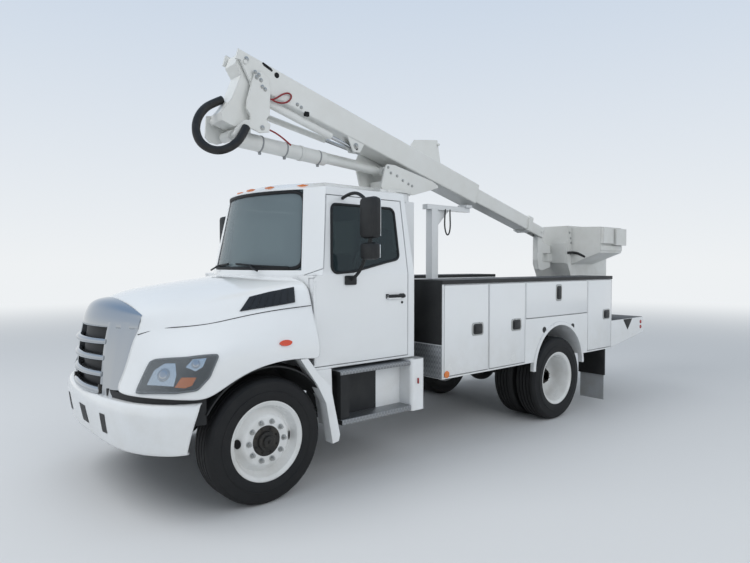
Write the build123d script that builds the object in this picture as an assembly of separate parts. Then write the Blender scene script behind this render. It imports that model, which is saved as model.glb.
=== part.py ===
"""Cherry picker truck: a two-axle service truck that carries an articulated, telescopic boom with a platform.

Millimetres. X is across the truck with the driver's side at +X, Y runs rearwards from the front axle,
and Z is up from the ground. The finished pieces are moved along Y so that the origin lies on the ground
under the middle of the whole vehicle. Outlines seen from the side are lists of (y, z), outlines seen from
the front are lists of (x, z), and outlines seen from above are lists of (x, y).
"""
from build123d import *
from math import cos, hypot, radians, sin
import os

# Overall places along the truck, measured from the front axle
WHEELBASE = 3860
FRONT_OVERHANG = 1090
PLATFORM_END_Y = 6640
HALF_WIDTH = 1190
GROUND_TO_AXLE = 485

# Clearances and walls
PIN_GAP = 0.3
DOOR_GAP = 6
CAB_WALL = 60
SHEET = 30

# Wheels
TYRE_RADIUS = 485
TYRE_WIDTH = 272
RIM_RADIUS = 292
RIM_WALL = 14
FRONT_TYRE_X = 975
REAR_OUTER_X = 1040
TWIN_SPACING = 310
HUB_RADIUS = 75

# Chassis
RAIL_X = 425
RAIL_WIDTH = 75
RAIL_Z = (700, 945)
FRAME_Y = (-850, 5930)
KINGPIN_X = 800
KINGPIN_RADIUS = 24
SHAFT_RADIUS = 48
SHAFT_START = (0, 1240, 765)
SHAFT_END = (0, WHEELBASE - 303, GROUND_TO_AXLE + 40)
CROSS_MEMBERS = (-700, 1330, 1900, 3000, 4560, 5730)

# Cab
CAB_HALF = 1030
CAB_Z = (960, 1740)
CAB_Y = (470, 1690)
HEADER_Z = 2500
ROOF_Z = 2565
DOOR_HINGE_Y = 482
DOOR_HINGE_RADIUS = 12
CAB_DOOR_REAR_Y = 1535
CAB_DOOR_Z = (985, 2425)
GLASS_INSET = 20
GLASS_THICKNESS = 6
DASH_HALF = 880
WINDOW_OUTLINE = [(655, 1760), (900, 1760), (1010, 1946), (1440, 1946), (1440, 2350), (725, 2350)]
WINDSCREEN_OUTLINE = [(-815, 1780), (815, 1780), (690, 2485), (-690, 2485)]
REAR_WINDOW_X = 450
REAR_WINDOW_Z = (1950, 2300)

# Hood and fenders
HOOD_PIVOT = (-965, 905)
HOOD_TUBE_RADIUS = 18
HOOD_WALL = 25
FENDER_HALF = 1150
FENDER_INNER_X = 700
COWL_GAP = 10
NOSE_Z = (880, 1500)
NOSE_HALF = 760
GRILLE_OUTLINE = [(-545, 925), (545, 925), (520, 1420), (-520, 1420)]
GRILLE_DEPTH = (-28, 8)
BUMPER_Z = (500, 860)
BUMPER_TOP = [(1140, -558), (874, -803), (605, -923), (206, -978)]
BUMPER_FOOT = [(1105, -640), (960, -844), (733, -1015), (390, -1090)]

# Service body
BODY_Y = (1840, 5100)
BODY_Z = (730, 1640)
BODY_DEPTH = 480
RAIL_CAP_Z = 1680
ARCH_RADIUS = 490
ARCH_CENTRE_Z = 626
DECK_Z = (1050, 1090)
TAIL_Y = 6010
TAIL_END_Z = 870
DOOR_THICKNESS = 30
LID_HINGE_RADIUS = 7
FLAP_BEHIND_AXLE = 1080
HITCH_BOLT_X = 43
HITCH_BOLT_Z = (778, 822)
HITCH_BOLT_RADIUS = 7

# Boom mechanism: pins in the plane of the boom, as (y, z)
TURN_Y = 2150
PEDESTAL_HALF = 260
BEARING_Z = (2560, 2615)
ARM_PIN = (2100, 2876)
ELBOW_PIN = (250, 3010)
LINK_OFFSET = (75, 66)
ARM_CYLINDER_FOOT = (690, 3320)
ARM_CYLINDER_EYE = (2150, 3060)
BOOM_PIN = (340, 3670)
BOOM_CYLINDER_FOOT = (530, 3380)
BOOM_CYLINDER_EYE = (1650, 3060)
BOOM_SLOPE = -15.3
PLATE_X = (150, 170)
LINK_X = -128
LINK_HALF = 16
ARM_X = -20
ARM_CYLINDER_X = -212
BOOM_CYLINDER_X = 85
PIN_RADIUS = 20

# Boom sections
BOOM_WIDTH = 280
BOOM_DEPTH = 262
BOOM_WALL = 12
BOOM_REACH = (-90, 3420)
FORK_LENGTH = 260
INNER_WIDTH = 210
INNER_DEPTH = 190
INNER_REACH = (1500, 4700)
TIP_WIDTH = 130
TIP_DEPTH = 160
TIP_WALL = 14
TIP_FORK = (-290, 53)

# Platform
TIP_PIN = (5180, 2310)
MAST_HALF = 40
ROTATE_Y = 5420
PIVOT_RADIUS = 30
PLATFORM_HALF = 300
PLATFORM_FRONT_Y = 5500
PLATFORM_Z = (1410, 2400)
PLATFORM_WALL = 25
PLATFORM_TOE_Y = 5720
PLATFORM_TOE_Z = 1840
TRAY_X = 750
BRACKET_Z = (1870, 1990)
TRAY_Y = (5600, 6220)


def span_box(x, y, z):
    """A box between two x, two y and two z values."""
    corner = Location((x[0], y[0], z[0]))
    return corner * Box(x[1] - x[0], y[1] - y[0], z[1] - z[0], align=(Align.MIN, Align.MIN, Align.MIN))


def side_plate(outline, x):
    """An outline of (y, z) points, thickened between two x values."""
    face = make_face(Polyline(*outline, close=True))
    return extrude(Plane.YZ.offset(x[0]) * face, amount=x[1] - x[0])


def front_plate(outline, y):
    """An outline of (x, z) points, thickened between two y values."""
    face = make_face(Polyline(*outline, close=True))
    return extrude(Plane.XZ.offset(-y[1]) * face, amount=y[1] - y[0])


def plan_plate(outline, z):
    """An outline of (x, y) points, thickened between two z values."""
    face = make_face(Polyline(*outline, close=True))
    return extrude(Plane.XY.offset(z[0]) * face, amount=z[1] - z[0])


def rod(start, end, radius, bore=0):
    """A round bar, or a tube if it has a bore, between two points."""
    start = Vector(*start)
    reach = Vector(*end) - start
    place = Plane(origin=start, z_dir=reach)
    bar = extrude(place * Circle(radius), amount=reach.length)
    if bore:
        bar -= extrude(place * Circle(bore), amount=reach.length)
    return bar


def cross_pin(pin, radius, x, bore=0):
    """A bar or tube along X at a pin place (y, z)."""
    return rod((x[0], pin[0], pin[1]), (x[1], pin[0], pin[1]), radius, bore)


def mirrored(piece):
    """The same piece on the truck's other side."""
    return piece.mirror(Plane.YZ)


def both_sides(piece):
    """A piece and its mirror image, as one node."""
    return Compound(children=[*piece.solids(), *mirrored(piece).solids()])


def between(start, end, along):
    """The point at a distance along the line from one pin to another."""
    reach = hypot(end[0] - start[0], end[1] - start[1])
    share = along / reach
    return (start[0] + share * (end[0] - start[0]), start[1] + share * (end[1] - start[1]))


def at_x(pin, x):
    """A pin place (y, z) as a point in space."""
    return (x, pin[0], pin[1])


# Chassis

def chassis_frame():
    """Two rails with cross-members, and ears for the hood's pivot at the front."""
    frame = span_box((RAIL_X - RAIL_WIDTH, RAIL_X), FRAME_Y, RAIL_Z)
    frame -= span_box((RAIL_X - RAIL_WIDTH, RAIL_X - 10), FRAME_Y, (RAIL_Z[0] + 10, RAIL_Z[1] - 10))
    frame += mirrored(frame)
    for y in CROSS_MEMBERS:
        frame += span_box((-RAIL_X + 5, RAIL_X - 5), (y, y + 90), (RAIL_Z[0] + 20, RAIL_Z[1] - 40))
    frame -= rod(SHAFT_START, SHAFT_END, SHAFT_RADIUS + 40)
    y, z = HOOD_PIVOT
    ear = side_plate([(FRAME_Y[0] + 60, RAIL_Z[0]), (FRAME_Y[0] + 60, z - 25), (y + 50, z - 21), (y + 33, z + 30),
                      (y - 30, z + 30), (y - 35, z - 37), (y + 64, z - 37), (y + 64, RAIL_Z[0])],
                     (RAIL_X - 95, RAIL_X - 65))
    ear -= cross_pin(HOOD_PIVOT, HOOD_TUBE_RADIUS + PIN_GAP, (0, RAIL_X))
    for y in (600, 1500):
        pad = span_box((RAIL_X - 65, RAIL_X - 5), (y, y + 80), (RAIL_Z[1], CAB_Z[0]))
        frame += pad + mirrored(pad)
    return frame + ear + mirrored(ear)


def front_axle():
    """A dropped beam that ends in the kingpins, with its leaf springs."""
    beam = front_plate([(-KINGPIN_X, 455), (-720, 455), (-560, 400), (560, 400), (720, 455),
                        (KINGPIN_X, 455), (KINGPIN_X, 515), (720, 515), (560, 490), (-560, 490),
                        (-720, 515), (-KINGPIN_X, 515)], (-38, 38))
    for side in (-1, 1):
        beam += rod((side * KINGPIN_X, 0, 385), (side * KINGPIN_X, 0, 585), KINGPIN_RADIUS)
        beam += rod((side * KINGPIN_X, 0, 450), (side * KINGPIN_X, 0, 520), 42)
    return beam + leaf_springs(0, 490, 620)


def leaf_springs(axle_y, seat_z, half_span):
    """A pair of leaf springs from the axle's seat up to the frame rails."""
    rise = RAIL_Z[0] - seat_z
    leaf = side_plate([(axle_y - half_span, RAIL_Z[0] - 60), (axle_y, seat_z + 0.15 * rise - 15),
                       (axle_y + half_span, RAIL_Z[0] - 60), (axle_y + half_span, RAIL_Z[0] - 20),
                       (axle_y, seat_z + 0.15 * rise + 50), (axle_y - half_span, RAIL_Z[0] - 20)],
                      (RAIL_X - 75, RAIL_X))
    seat = span_box((RAIL_X - 70, RAIL_X - 5), (axle_y - 70, axle_y + 70), (seat_z - 20, seat_z + 40))
    leaf += seat
    for end in (-1, 1):
        shackle_y = axle_y + end * (half_span - 25)
        leaf += span_box((RAIL_X - 60, RAIL_X - 15), (shackle_y - 25, shackle_y + 25),
                         (RAIL_Z[0] - 50, RAIL_Z[0]))
    return leaf + mirrored(leaf)


def rear_axle():
    """The driven axle's housing with its springs, ending in spindles."""
    y = WHEELBASE
    housing = rod((-860, y, GROUND_TO_AXLE), (860, y, GROUND_TO_AXLE), 65)
    housing += Location((0, y + 20, GROUND_TO_AXLE)) * Sphere(190)
    housing += rod((0, y, GROUND_TO_AXLE), (0, y - 300, GROUND_TO_AXLE + 40), 90)
    for side in (-1, 1):
        housing += rod((side * 850, y, GROUND_TO_AXLE), (side * 1010, y, GROUND_TO_AXLE), HUB_RADIUS - PIN_GAP)
    return housing + leaf_springs(y, GROUND_TO_AXLE + 40, 640)


def driveline():
    """The engine as one block, the gearbox and the shaft to the rear axle."""
    engine = span_box((-300, 300), (-480, 400), (900, 1400))
    engine += span_box((RAIL_WIDTH - RAIL_X, RAIL_X - RAIL_WIDTH), (-60, 60), (905, 940))
    engine += front_plate([(-250, 900), (-170, 640), (170, 640), (250, 900)], (-300, 380))
    gearbox = rod((0, 380, 800), (0, 1250, 765), 140)
    return engine + gearbox + rod(SHAFT_START, SHAFT_END, SHAFT_RADIUS)


# Wheels

def tyre(x):
    """A tyre whose section has a flat tread, rounded shoulders and bulging walls."""
    half = TYRE_WIDTH / 2
    with BuildSketch(Plane.XZ) as section:
        with BuildLine():
            Polyline((-half + 35, RIM_RADIUS), (-half + 5, RIM_RADIUS + 25), (-half, RIM_RADIUS + 95),
                     (-half + 14, TYRE_RADIUS - 30), (-half + 34, TYRE_RADIUS), (half - 34, TYRE_RADIUS),
                     (half - 14, TYRE_RADIUS - 30), (half, RIM_RADIUS + 95), (half - 5, RIM_RADIUS + 25),
                     (half - 35, RIM_RADIUS), close=True)
        make_face()
    ring = revolve(section.sketch, Axis.X, 360)
    return Location((x, 0, 0)) * ring


def rim(x, disc_x, dish):
    """A rim barrel with its disc: disc_x is the hub face and dish is the depth of the cone round it."""
    half = TYRE_WIDTH / 2 - 14
    barrel = rod((x - half, 0, 0), (x + half, 0, 0), RIM_RADIUS, RIM_RADIUS - RIM_WALL)
    disc = rod((disc_x - 7, 0, 0), (disc_x + 7, 0, 0), 175, HUB_RADIUS)
    with BuildSketch(Plane.XZ) as section:
        with BuildLine():
            Polyline((disc_x - 7, 165), (disc_x - dish, RIM_RADIUS - RIM_WALL + 2),
                     (disc_x - dish + 14, RIM_RADIUS - RIM_WALL + 2), (disc_x + 7, 165), close=True)
        make_face()
    cone = revolve(section.sketch, Axis.X, 360)
    return barrel + disc + cone


def hand_holes(wheel, x, count, reach):
    """Cut round holes through the sloping part of a wheel's disc."""
    for turn in range(count):
        angle = radians(360 * turn / count + 90)
        spot = (x, reach * cos(angle), reach * sin(angle))
        wheel -= rod((spot[0] - 120, spot[1], spot[2]), (spot[0] + 120, spot[1], spot[2]), 34)
    return wheel


def front_wheel():
    """The driver's side front tyre and rim, at the axle's height."""
    place = Location((0, 0, GROUND_TO_AXLE))
    wheel = rim(FRONT_TYRE_X, FRONT_TYRE_X + 95, 60)
    wheel = hand_holes(wheel, FRONT_TYRE_X + 60, 2, 222)
    wheel += rod((FRONT_TYRE_X - 40, 0, 0), (FRONT_TYRE_X + 90, 0, 0), 110, HUB_RADIUS)
    return place * tyre(FRONT_TYRE_X), place * wheel


def rear_wheel():
    """The driver's side rear twin tyres and rims, at the axle's height."""
    place = Location((0, WHEELBASE, GROUND_TO_AXLE))
    inner_x = REAR_OUTER_X - TWIN_SPACING
    middle = (REAR_OUTER_X + inner_x) / 2
    outer = rim(REAR_OUTER_X, middle + 7, -60)
    inner = rim(inner_x, middle - 7, 60)
    wheel = hand_holes(outer + inner, middle, 5, 222)
    wheel += rod((middle, 0, 0), (REAR_OUTER_X + 75, 0, 0), 130, HUB_RADIUS)
    tyres = Compound(children=[*tyre(REAR_OUTER_X).solids(), *tyre(inner_x).solids()])
    return place * tyres, place * wheel


def knuckle():
    """The driver's side steering knuckle: a fork on the kingpin, and the spindle."""
    fork = rod((KINGPIN_X, 0, 385), (KINGPIN_X, 0, 585), 40)
    fork += span_box((KINGPIN_X, KINGPIN_X + 75), (-40, 40), (385, 585))
    fork -= span_box((KINGPIN_X - 60, KINGPIN_X + 50), (-60, 60), (450 - PIN_GAP, 520 + PIN_GAP))
    fork -= rod((KINGPIN_X, 0, 300), (KINGPIN_X, 0, 700), KINGPIN_RADIUS + PIN_GAP)
    arm = span_box((KINGPIN_X - 20, KINGPIN_X + 20), (30, 190), (395, 425))
    spindle = rod((KINGPIN_X + 70, 0, GROUND_TO_AXLE), (FRONT_TYRE_X + 75, 0, GROUND_TO_AXLE),
                  HUB_RADIUS - PIN_GAP)
    return fork + arm + spindle


# Cab

def cab_section(z, half, corner_x, corner_y, nose_y, side_y, rear_y, inset):
    """One level of the glazed upper cab: a bowed front, angled corners and a rounded rear."""
    half -= inset
    corner_x -= inset
    rear = rear_y - inset
    with BuildSketch(Plane.XY.offset(z)) as level:
        with BuildLine():
            ThreePointArc((-corner_x, corner_y + inset), (0, nose_y + inset), (corner_x, corner_y + inset))
            Polyline((corner_x, corner_y + inset), (half, side_y + inset), (half, rear - 70),
                     (half - 70, rear), (-half + 70, rear), (-half, rear - 70), (-half, side_y + inset),
                     (-corner_x, corner_y + inset))
        make_face()
    return level.sketch


def cab_levels():
    """Height, half width, windscreen corner x and y, nose y, where the side starts, and rear y."""
    return [(CAB_Z[1], CAB_HALF, 840, 500, 250, 565, CAB_Y[1]),
            (HEADER_Z, 905, 705, 615, 390, 690, CAB_Y[1] - 25),
            (ROOF_Z, 700, 560, 760, 560, 830, CAB_Y[1] - 130)]


def cab_solid(inset):
    """The cab's outer form, or the space inside it when inset by the wall."""
    belt, header, roof = [list(level) for level in cab_levels()]
    roof[0] -= inset
    sections = [cab_section(*level, inset) for level in (belt, header, roof)]
    upper = loft(sections[:2], ruled=True) + loft(sections[1:], ruled=True)
    lower = span_box((-CAB_HALF + inset, CAB_HALF - inset), (CAB_Y[0] + inset, CAB_Y[1] - inset),
                     (CAB_Z[0] + inset, CAB_Z[1]))
    lower = chamfer(lower.edges().filter_by(Axis.Z).group_by(Axis.Y)[-1], 70)
    nose_depth = 60
    if inset:
        return lower + upper
    ledge = extrude(sections[0], amount=-nose_depth)
    return lower + upper + ledge


def cab_door_outline(grow):
    """The driver's door from the side, made larger or smaller all round."""
    front = DOOR_HINGE_Y - 8
    return [(front - grow, CAB_DOOR_Z[0] - grow), (front - grow, 1715), (585 - grow, 1800),
            (685 - grow, CAB_DOOR_Z[1] + grow), (CAB_DOOR_REAR_Y + 2 * grow, CAB_DOOR_Z[1] + grow),
            (CAB_DOOR_REAR_Y + grow, CAB_DOOR_Z[0] - grow)]


def cab_door_region(grow):
    """Everything beside the cab that belongs to the driver's door, without the cab's front wall and floor."""
    region = side_plate(cab_door_outline(grow), (700, CAB_HALF + 200))
    inner_side = (0, CAB_HALF - CAB_WALL - 5 - grow)
    region -= span_box(inner_side, (CAB_Y[0] - 70, CAB_Y[0] + 150), (900, CAB_Z[1]))
    return region - span_box(inner_side, CAB_Y, (900, CAB_Z[0] + CAB_WALL + DOOR_GAP - grow))


def glass_skin():
    """A thin layer that follows the cab's surface, for cutting panes from."""
    return cab_solid(GLASS_INSET) - cab_solid(GLASS_INSET + GLASS_THICKNESS)


def cab_shell(outer, inner):
    """The cab without its doors and windows."""
    shell = outer - inner
    opening = cab_door_region(DOOR_GAP)
    shell = shell - opening - mirrored(opening)
    slot = rod((CAB_HALF, DOOR_HINGE_Y, CAB_DOOR_Z[0] - DOOR_GAP), (CAB_HALF, DOOR_HINGE_Y, 1700),
               DOOR_HINGE_RADIUS + PIN_GAP)
    shell -= slot
    shell -= mirrored(slot)
    shell -= front_plate(WINDSCREEN_OUTLINE, (0, 720))
    shell -= span_box((-REAR_WINDOW_X, REAR_WINDOW_X), (1500, 1800), REAR_WINDOW_Z)
    flare = fender_flare()
    return shell + flare + mirrored(flare)


def cab_glass(skin):
    """The windscreen and the rear window."""
    front = skin & front_plate(WINDSCREEN_OUTLINE, (0, 720))
    rear = skin & span_box((-REAR_WINDOW_X, REAR_WINDOW_X), (1500, 1800), REAR_WINDOW_Z)
    return Compound(children=[*front.solids(), *rear.solids()])


def cab_door(outer, inner):
    """The driver's door: the cab's own wall inside the door's outline, with its hinge barrel."""
    door = (outer - inner) & cab_door_region(0)
    door -= side_plate(WINDOW_OUTLINE, (700, CAB_HALF + 200))
    door += rod((CAB_HALF, DOOR_HINGE_Y, CAB_DOOR_Z[0] + 20), (CAB_HALF, DOOR_HINGE_Y, 1690), DOOR_HINGE_RADIUS)
    handle = span_box((CAB_HALF - 5, CAB_HALF + 28), (1270, 1430), (1515, 1550))
    return door + handle


def cab_door_glass(skin):
    """The pane in the driver's door."""
    return skin & side_plate(WINDOW_OUTLINE, (700, CAB_HALF + 200))


def mirror():
    """The driver's mirrors: a tall housing, a small one below it and their arms."""
    head = span_box((1200, 1400), (800, 900), (2040, 2385))
    head = fillet(head.edges(), 25)
    low = span_box((1205, 1395), (805, 895), (1865, 2015))
    low = fillet(low.edges(), 22)
    head += low
    head += rod((1300, 850, 1990), (1300, 850, 2060), 18)
    head += rod((905, 850, 2400), (1230, 850, 2350), 14)
    head += rod((CAB_HALF - 3, 850, 1700), (1230, 850, 1890), 16)
    head += span_box((CAB_HALF - 2, CAB_HALF + 18), (800, 900), (1660, 1730))
    return head


def cab_interior():
    """Seats, dash and steering wheel, on the cab's floor."""
    floor = CAB_Z[0] + CAB_WALL
    pieces = []
    for x in (560, -560):
        seat = span_box((x - 240, x + 240), (900, 1400), (floor, floor + 420))
        seat += side_plate([(1330, floor + 380), (1450, floor + 380), (1590, floor + 1150), (1500, floor + 1150)],
                           (x - 230, x + 230))
        pieces.append(seat)
    dash = side_plate([(520, floor + 300), (700, floor + 320), (760, floor + 560), (640, floor + 690),
                       (520, floor + 680)], (-DASH_HALF, DASH_HALF))
    dash = dash & cab_solid(CAB_WALL)
    column = rod((560, 690, floor + 500), (560, 880, floor + 640), 30)
    wheel = Plane(origin=(560, 890, floor + 650), z_dir=(0, 190, 140)) * Torus(210, 16)
    hub = rod((560, 860, floor + 628), (560, 900, floor + 657), 60)
    spoke = Plane(origin=(560, 890, floor + 650), z_dir=(0, 190, 140)) * Box(415, 40, 14)
    pieces.append(dash + column + wheel + hub + spoke)
    return Compound(children=[solid for piece in pieces for solid in piece.solids()])


def cab_steps():
    """The two treads under the driver's door, with their hangers and the tank between them."""
    tray = span_box((RAIL_X, 1100), (690, 1500), (900, 930))
    case = span_box((RAIL_X + 60, 960), (760, 1200), (520, 900))
    low = span_box((RAIL_X + 60, 1110), (700, 1500), (480, 520))
    posts = span_box((1040, 1095), (700, 790), (520, 900))
    bracket = span_box((RAIL_X, RAIL_X + 90), (800, 1500), (800, 900))
    return case + tray + low + posts + bracket


def step_boxes():
    """The box behind the tank and the rounded end panel of the driver's steps."""
    case = span_box((RAIL_X + 90, 960), (1200, 1500), (520, 900))
    panel = span_box((RAIL_X + 60, 1120), (1500, 1680), (470, 950))
    panel = fillet(panel.edges().filter_by(Axis.Z).group_by(Axis.X)[-1], 40)
    return case + panel


def fender_flare():
    """The strip behind the front arch that finishes the fender, on the driver's side."""
    strip = side_plate([(268, 1088), (338, 1088), (452, 945), (560, 840), (655, 420), (640, 370), (580, 360),
                        (515, 700), (425, 870)], (1040, FENDER_HALF - 5))
    wall = side_plate([(475, CAB_Z[0]), (475, 905), (575, 700), (610, 480), (650, 480), (650, 700),
                       (640, CAB_Z[0])], (900, 1045))
    return strip + wall


# Hood

def hood_section(y, low, middle, top, crown_z):
    """One cross-section of the hood: sides in two leaning parts and a crowned top."""
    sides = [(-top[0], top[1]), (-middle[0], middle[1]), (-low[0], low[1]),
             low, middle, top]
    with BuildSketch(Plane.XZ.offset(-y)) as section:
        with BuildLine():
            Polyline(*sides)
            ThreePointArc(top, (0, crown_z), (-top[0], top[1]))
        make_face()
    return section.sketch


def nose_form(shift):
    """The space behind the hood's leaning, bowed front face, moved rearwards by a shift."""
    levels = []
    for z, corner_y, middle_y in ((NOSE_Z[0], -895, -970), (NOSE_Z[1], -690, -765)):
        with BuildSketch(Plane.XY.offset(z)) as level:
            with BuildLine():
                ThreePointArc((-NOSE_HALF, corner_y + shift), (0, middle_y + shift), (NOSE_HALF, corner_y + shift))
                Polyline((NOSE_HALF, corner_y + shift), (NOSE_HALF, 0), (-NOSE_HALF, 0),
                         (-NOSE_HALF, corner_y + shift))
            make_face()
        levels.append(level.sketch)
    return loft(levels, ruled=True)


def hood_solid(inset):
    """The hood's form over the engine, or the space under it when inset by its wall."""
    # Columns: y, then the half width and height at the foot, the crease and the shoulder, then the crown height
    stations = [(-1000, (680, 885), (690, 1300), (560, 1330), 1355),
                (-740, (730, 885), (715, 1340), (590, 1455), 1495),
                (20, (930, 1180), (925, 1440), (740, 1620), 1665),
                (452, (1050, 1180), (1035, 1475), (935, 1711), 1762)]
    sections = []
    for index, (y, low, middle, top, crown_z) in enumerate(stations):
        if index == len(stations) - 1 and inset:
            y += 10
        foot_z = low[1] - 10 if inset else low[1]
        sections.append(hood_section(y, (low[0] - inset, foot_z), (middle[0] - inset, middle[1] - inset),
                                     (top[0] - inset, top[1] - inset), crown_z - inset))
    form = loft(sections[:2], ruled=True) + loft(sections[1:3], ruled=True) + loft(sections[2:], ruled=True)
    front = span_box((-1200, 1200), (-1200, -600), (800, 1600)) - nose_form(inset)
    return form - front


def hood():
    """The hood's shell with its grille opening, its lower bar and its pivot tube."""
    shell = hood_solid(0) - hood_solid(HOOD_WALL)
    shell -= front_plate(GRILLE_OUTLINE, (-1000, -600))
    bar = span_box((-530, 530), (-1000, HOOD_PIVOT[0] + 60), (886, GRILLE_OUTLINE[0][1])) & hood_solid(0)
    tube = cross_pin(HOOD_PIVOT, HOOD_TUBE_RADIUS, (-RAIL_X + 20, RAIL_X - 20))
    cowl = extrude(cab_section(*cab_levels()[0], -COWL_GAP), amount=200, both=True)
    return (shell - cowl + bar - ear_room()) + tube


def ear_room():
    """The room that the hood leaves round the two ears that hold its pivot."""
    notch = cross_pin(HOOD_PIVOT, 57, (RAIL_X - 101, RAIL_X - 59))
    return notch + mirrored(notch)


def fender_form(move_x, move_y):
    """The driver's side fender's corner seen from above, wider at its foot, moved inwards or outwards."""
    levels = [(900, [(600, -945), (800, -920), (1050, -720), (FENDER_HALF, -520), (FENDER_HALF, 600), (600, 600)]),
              (1510, [(600, -740), (800, -690), (1000, -470), (FENDER_HALF, -320), (FENDER_HALF, 600),
                      (600, 600)])]
    faces = [Plane.XY.offset(z) * make_face(Polyline(*outline, close=True)) for z, outline in levels]
    return loft(faces, ruled=True).moved(Location((move_x, move_y, 0)))


def fender():
    """The driver's side fender: a rounded box over the wheel, open inside, with the arch cut out."""
    outline = [(-945, 905), (-945, 1180), (-850, 1345), (-60, 1460), (452, 1505), (452, 965), (345, 1100)]
    arch = [(-470, 800), (-562, 869), (-493, 887), (-326, 990), (-150, 1090), (60, 1110), (250, 1103), (345, 1099),
            (470, 800)]
    outer = side_plate(outline, (FENDER_INNER_X, FENDER_HALF))
    top_edges = outer.edges().filter_by(lambda e: e.center().X > FENDER_HALF - 1 and e.center().Z > 1150)
    outer = chamfer(top_edges, 85) & fender_form(0, 0)
    hollow = side_plate([(y * 0.965, z - HOOD_WALL if z > 1000 else z - 60) for y, z in outline],
                        (FENDER_INNER_X - 110, FENDER_HALF - HOOD_WALL)) & fender_form(-30, 45)
    shell = outer - hollow - side_plate(arch, (FENDER_INNER_X - 10, FENDER_HALF + 10))
    return shell - hood_solid(0) - headlamp()


def grille():
    """The grille: a leaning, bowed surround with upright bars between dark slots."""
    frame = (nose_form(GRILLE_DEPTH[0]) - nose_form(GRILLE_DEPTH[1])) & front_plate(GRILLE_OUTLINE, (-1100, -500))
    slots = 4
    slot_height = 82
    for row in range(slots):
        z = 962 + row * (slot_height + 28)
        half = 500 - 0.05 * (z - 940)
        frame -= front_plate([(-half, z), (half, z), (half - 4, z + slot_height), (-half + 4, z + slot_height)],
                             (-1100, -500))
    bars = nose_form(GRILLE_DEPTH[0] + 8) - nose_form(GRILLE_DEPTH[1] - 8)
    for x in (-350, -175, 0, 175, 350):
        frame += bars & front_plate([(x - 12, 950), (x + 12, 950), (0.93 * x + 12, 1400), (0.93 * x - 12, 1400)],
                                    (-1100, -500))
    return frame - ear_room()


def headlamp():
    """The driver's side headlamp, set in the fender's front corner."""
    face = front_plate([(780, 940), (1050, 936), (FENDER_HALF + 6, 972), (FENDER_HALF + 6, 1205), (780, 1183)],
                       (-1000, -415))
    return ((fender_form(6, -9) - fender_form(-45, 55)) & face) - hood_solid(0)


def bumper_form(inset):
    """The bumper's solid form, widest at its top and furthest forward at its foot."""
    levels = []
    for z, corner in ((BUMPER_Z[0], BUMPER_FOOT), (BUMPER_Z[1], BUMPER_TOP)):
        side = [(x - 0.8 * inset, y + inset) for x, y in corner]
        outline = side + [(-x, y) for x, y in reversed(side)]
        levels.append(Plane.XY.offset(z) * make_face(Polyline(*outline, close=True)))
    return loft(levels, ruled=True)


def bumper():
    """The front bumper: a leaning channel that wraps round the corners, with two tow slots."""
    form = bumper_form(0)
    shell = form - bumper_form(42)
    shell -= bumper_form(26) & span_box((-1200, 1200), (-1200, 0), (BUMPER_Z[0] + 30, BUMPER_Z[1] - 30))
    for x in (-300, 300):
        shell -= span_box((x - 55, x + 55), (-1200, -900), (590, 700))
    for x in (-RAIL_X + 14, RAIL_X - 14):
        shell += span_box((x - 14, x + 14), (-1080, FRAME_Y[0]), (RAIL_Z[0] + 20, BUMPER_Z[1] - 20)) & form
    return shell


def roof_lamps():
    """Five marker lamps along the roof's front edge, and a low beacon with an aerial's foot behind."""
    pieces = []
    for x in (-580, -270, 0, 270, 580):
        y = 440 + 0.00055 * x * x
        pieces.append(span_box((x - 50, x + 50), (y, y + 80), (HEADER_Z - 15, HEADER_Z + 40)))
    pieces.append(rod((0, 1430, ROOF_Z - 60), (0, 1430, ROOF_Z + 50), 90))
    outer = cab_solid(0)
    return [piece - outer for piece in pieces]


# Service body

def compartment_doors():
    """The doors of one side: name, y span, z span, and the edge that carries the hinge."""
    return [("door_1", (1868, 2532), (752, 1632), "front"),
            ("door_2", (2552, 3170), (752, 1632), "front"),
            ("door_3", (3192, 4478), (1232, 1632), "bottom"),
            ("door_4", (4502, 5082), (752, 1632), "front")]


def lid_recess(y, z, edge):
    """The space that a compartment door closes, with its gaps and room for its hinge."""
    hinge_gap = LID_HINGE_RADIUS + PIN_GAP
    front = hinge_gap if edge == "front" else DOOR_GAP
    below = hinge_gap if edge == "bottom" else DOOR_GAP
    return span_box((HALF_WIDTH - DOOR_THICKNESS - DOOR_GAP, HALF_WIDTH + 1),
                    (y[0] - front, y[1] + DOOR_GAP), (z[0] - below, z[1] + DOOR_GAP - 3))


def service_side():
    """The driver's side bank of compartments, with its wheel arch and black top rail."""
    inner_x = HALF_WIDTH - BODY_DEPTH
    bank = span_box((inner_x, HALF_WIDTH), BODY_Y, BODY_Z)
    arch = cross_pin((WHEELBASE, ARCH_CENTRE_Z), ARCH_RADIUS + SHEET, (inner_x, HALF_WIDTH))
    for name, y, z, edge in compartment_doors():
        room = span_box((inner_x + SHEET, HALF_WIDTH), (y[0] + 16, y[1] - 16), (z[0] + 16, z[1] - 16))
        bank -= room - arch if name != "door_3" else room
        bank -= lid_recess(y, z, edge)
    bank -= cross_pin((WHEELBASE, ARCH_CENTRE_Z), ARCH_RADIUS, (inner_x - 10, HALF_WIDTH + 10))
    return bank


def top_rails():
    """The black rails on top of both banks of compartments."""
    inner_x = HALF_WIDTH - BODY_DEPTH
    rail = span_box((inner_x, HALF_WIDTH + 5), (BODY_Y[0] - 5, BODY_Y[1] + 5), (BODY_Z[1], RAIL_CAP_Z))
    return both_sides(rail)


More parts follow.
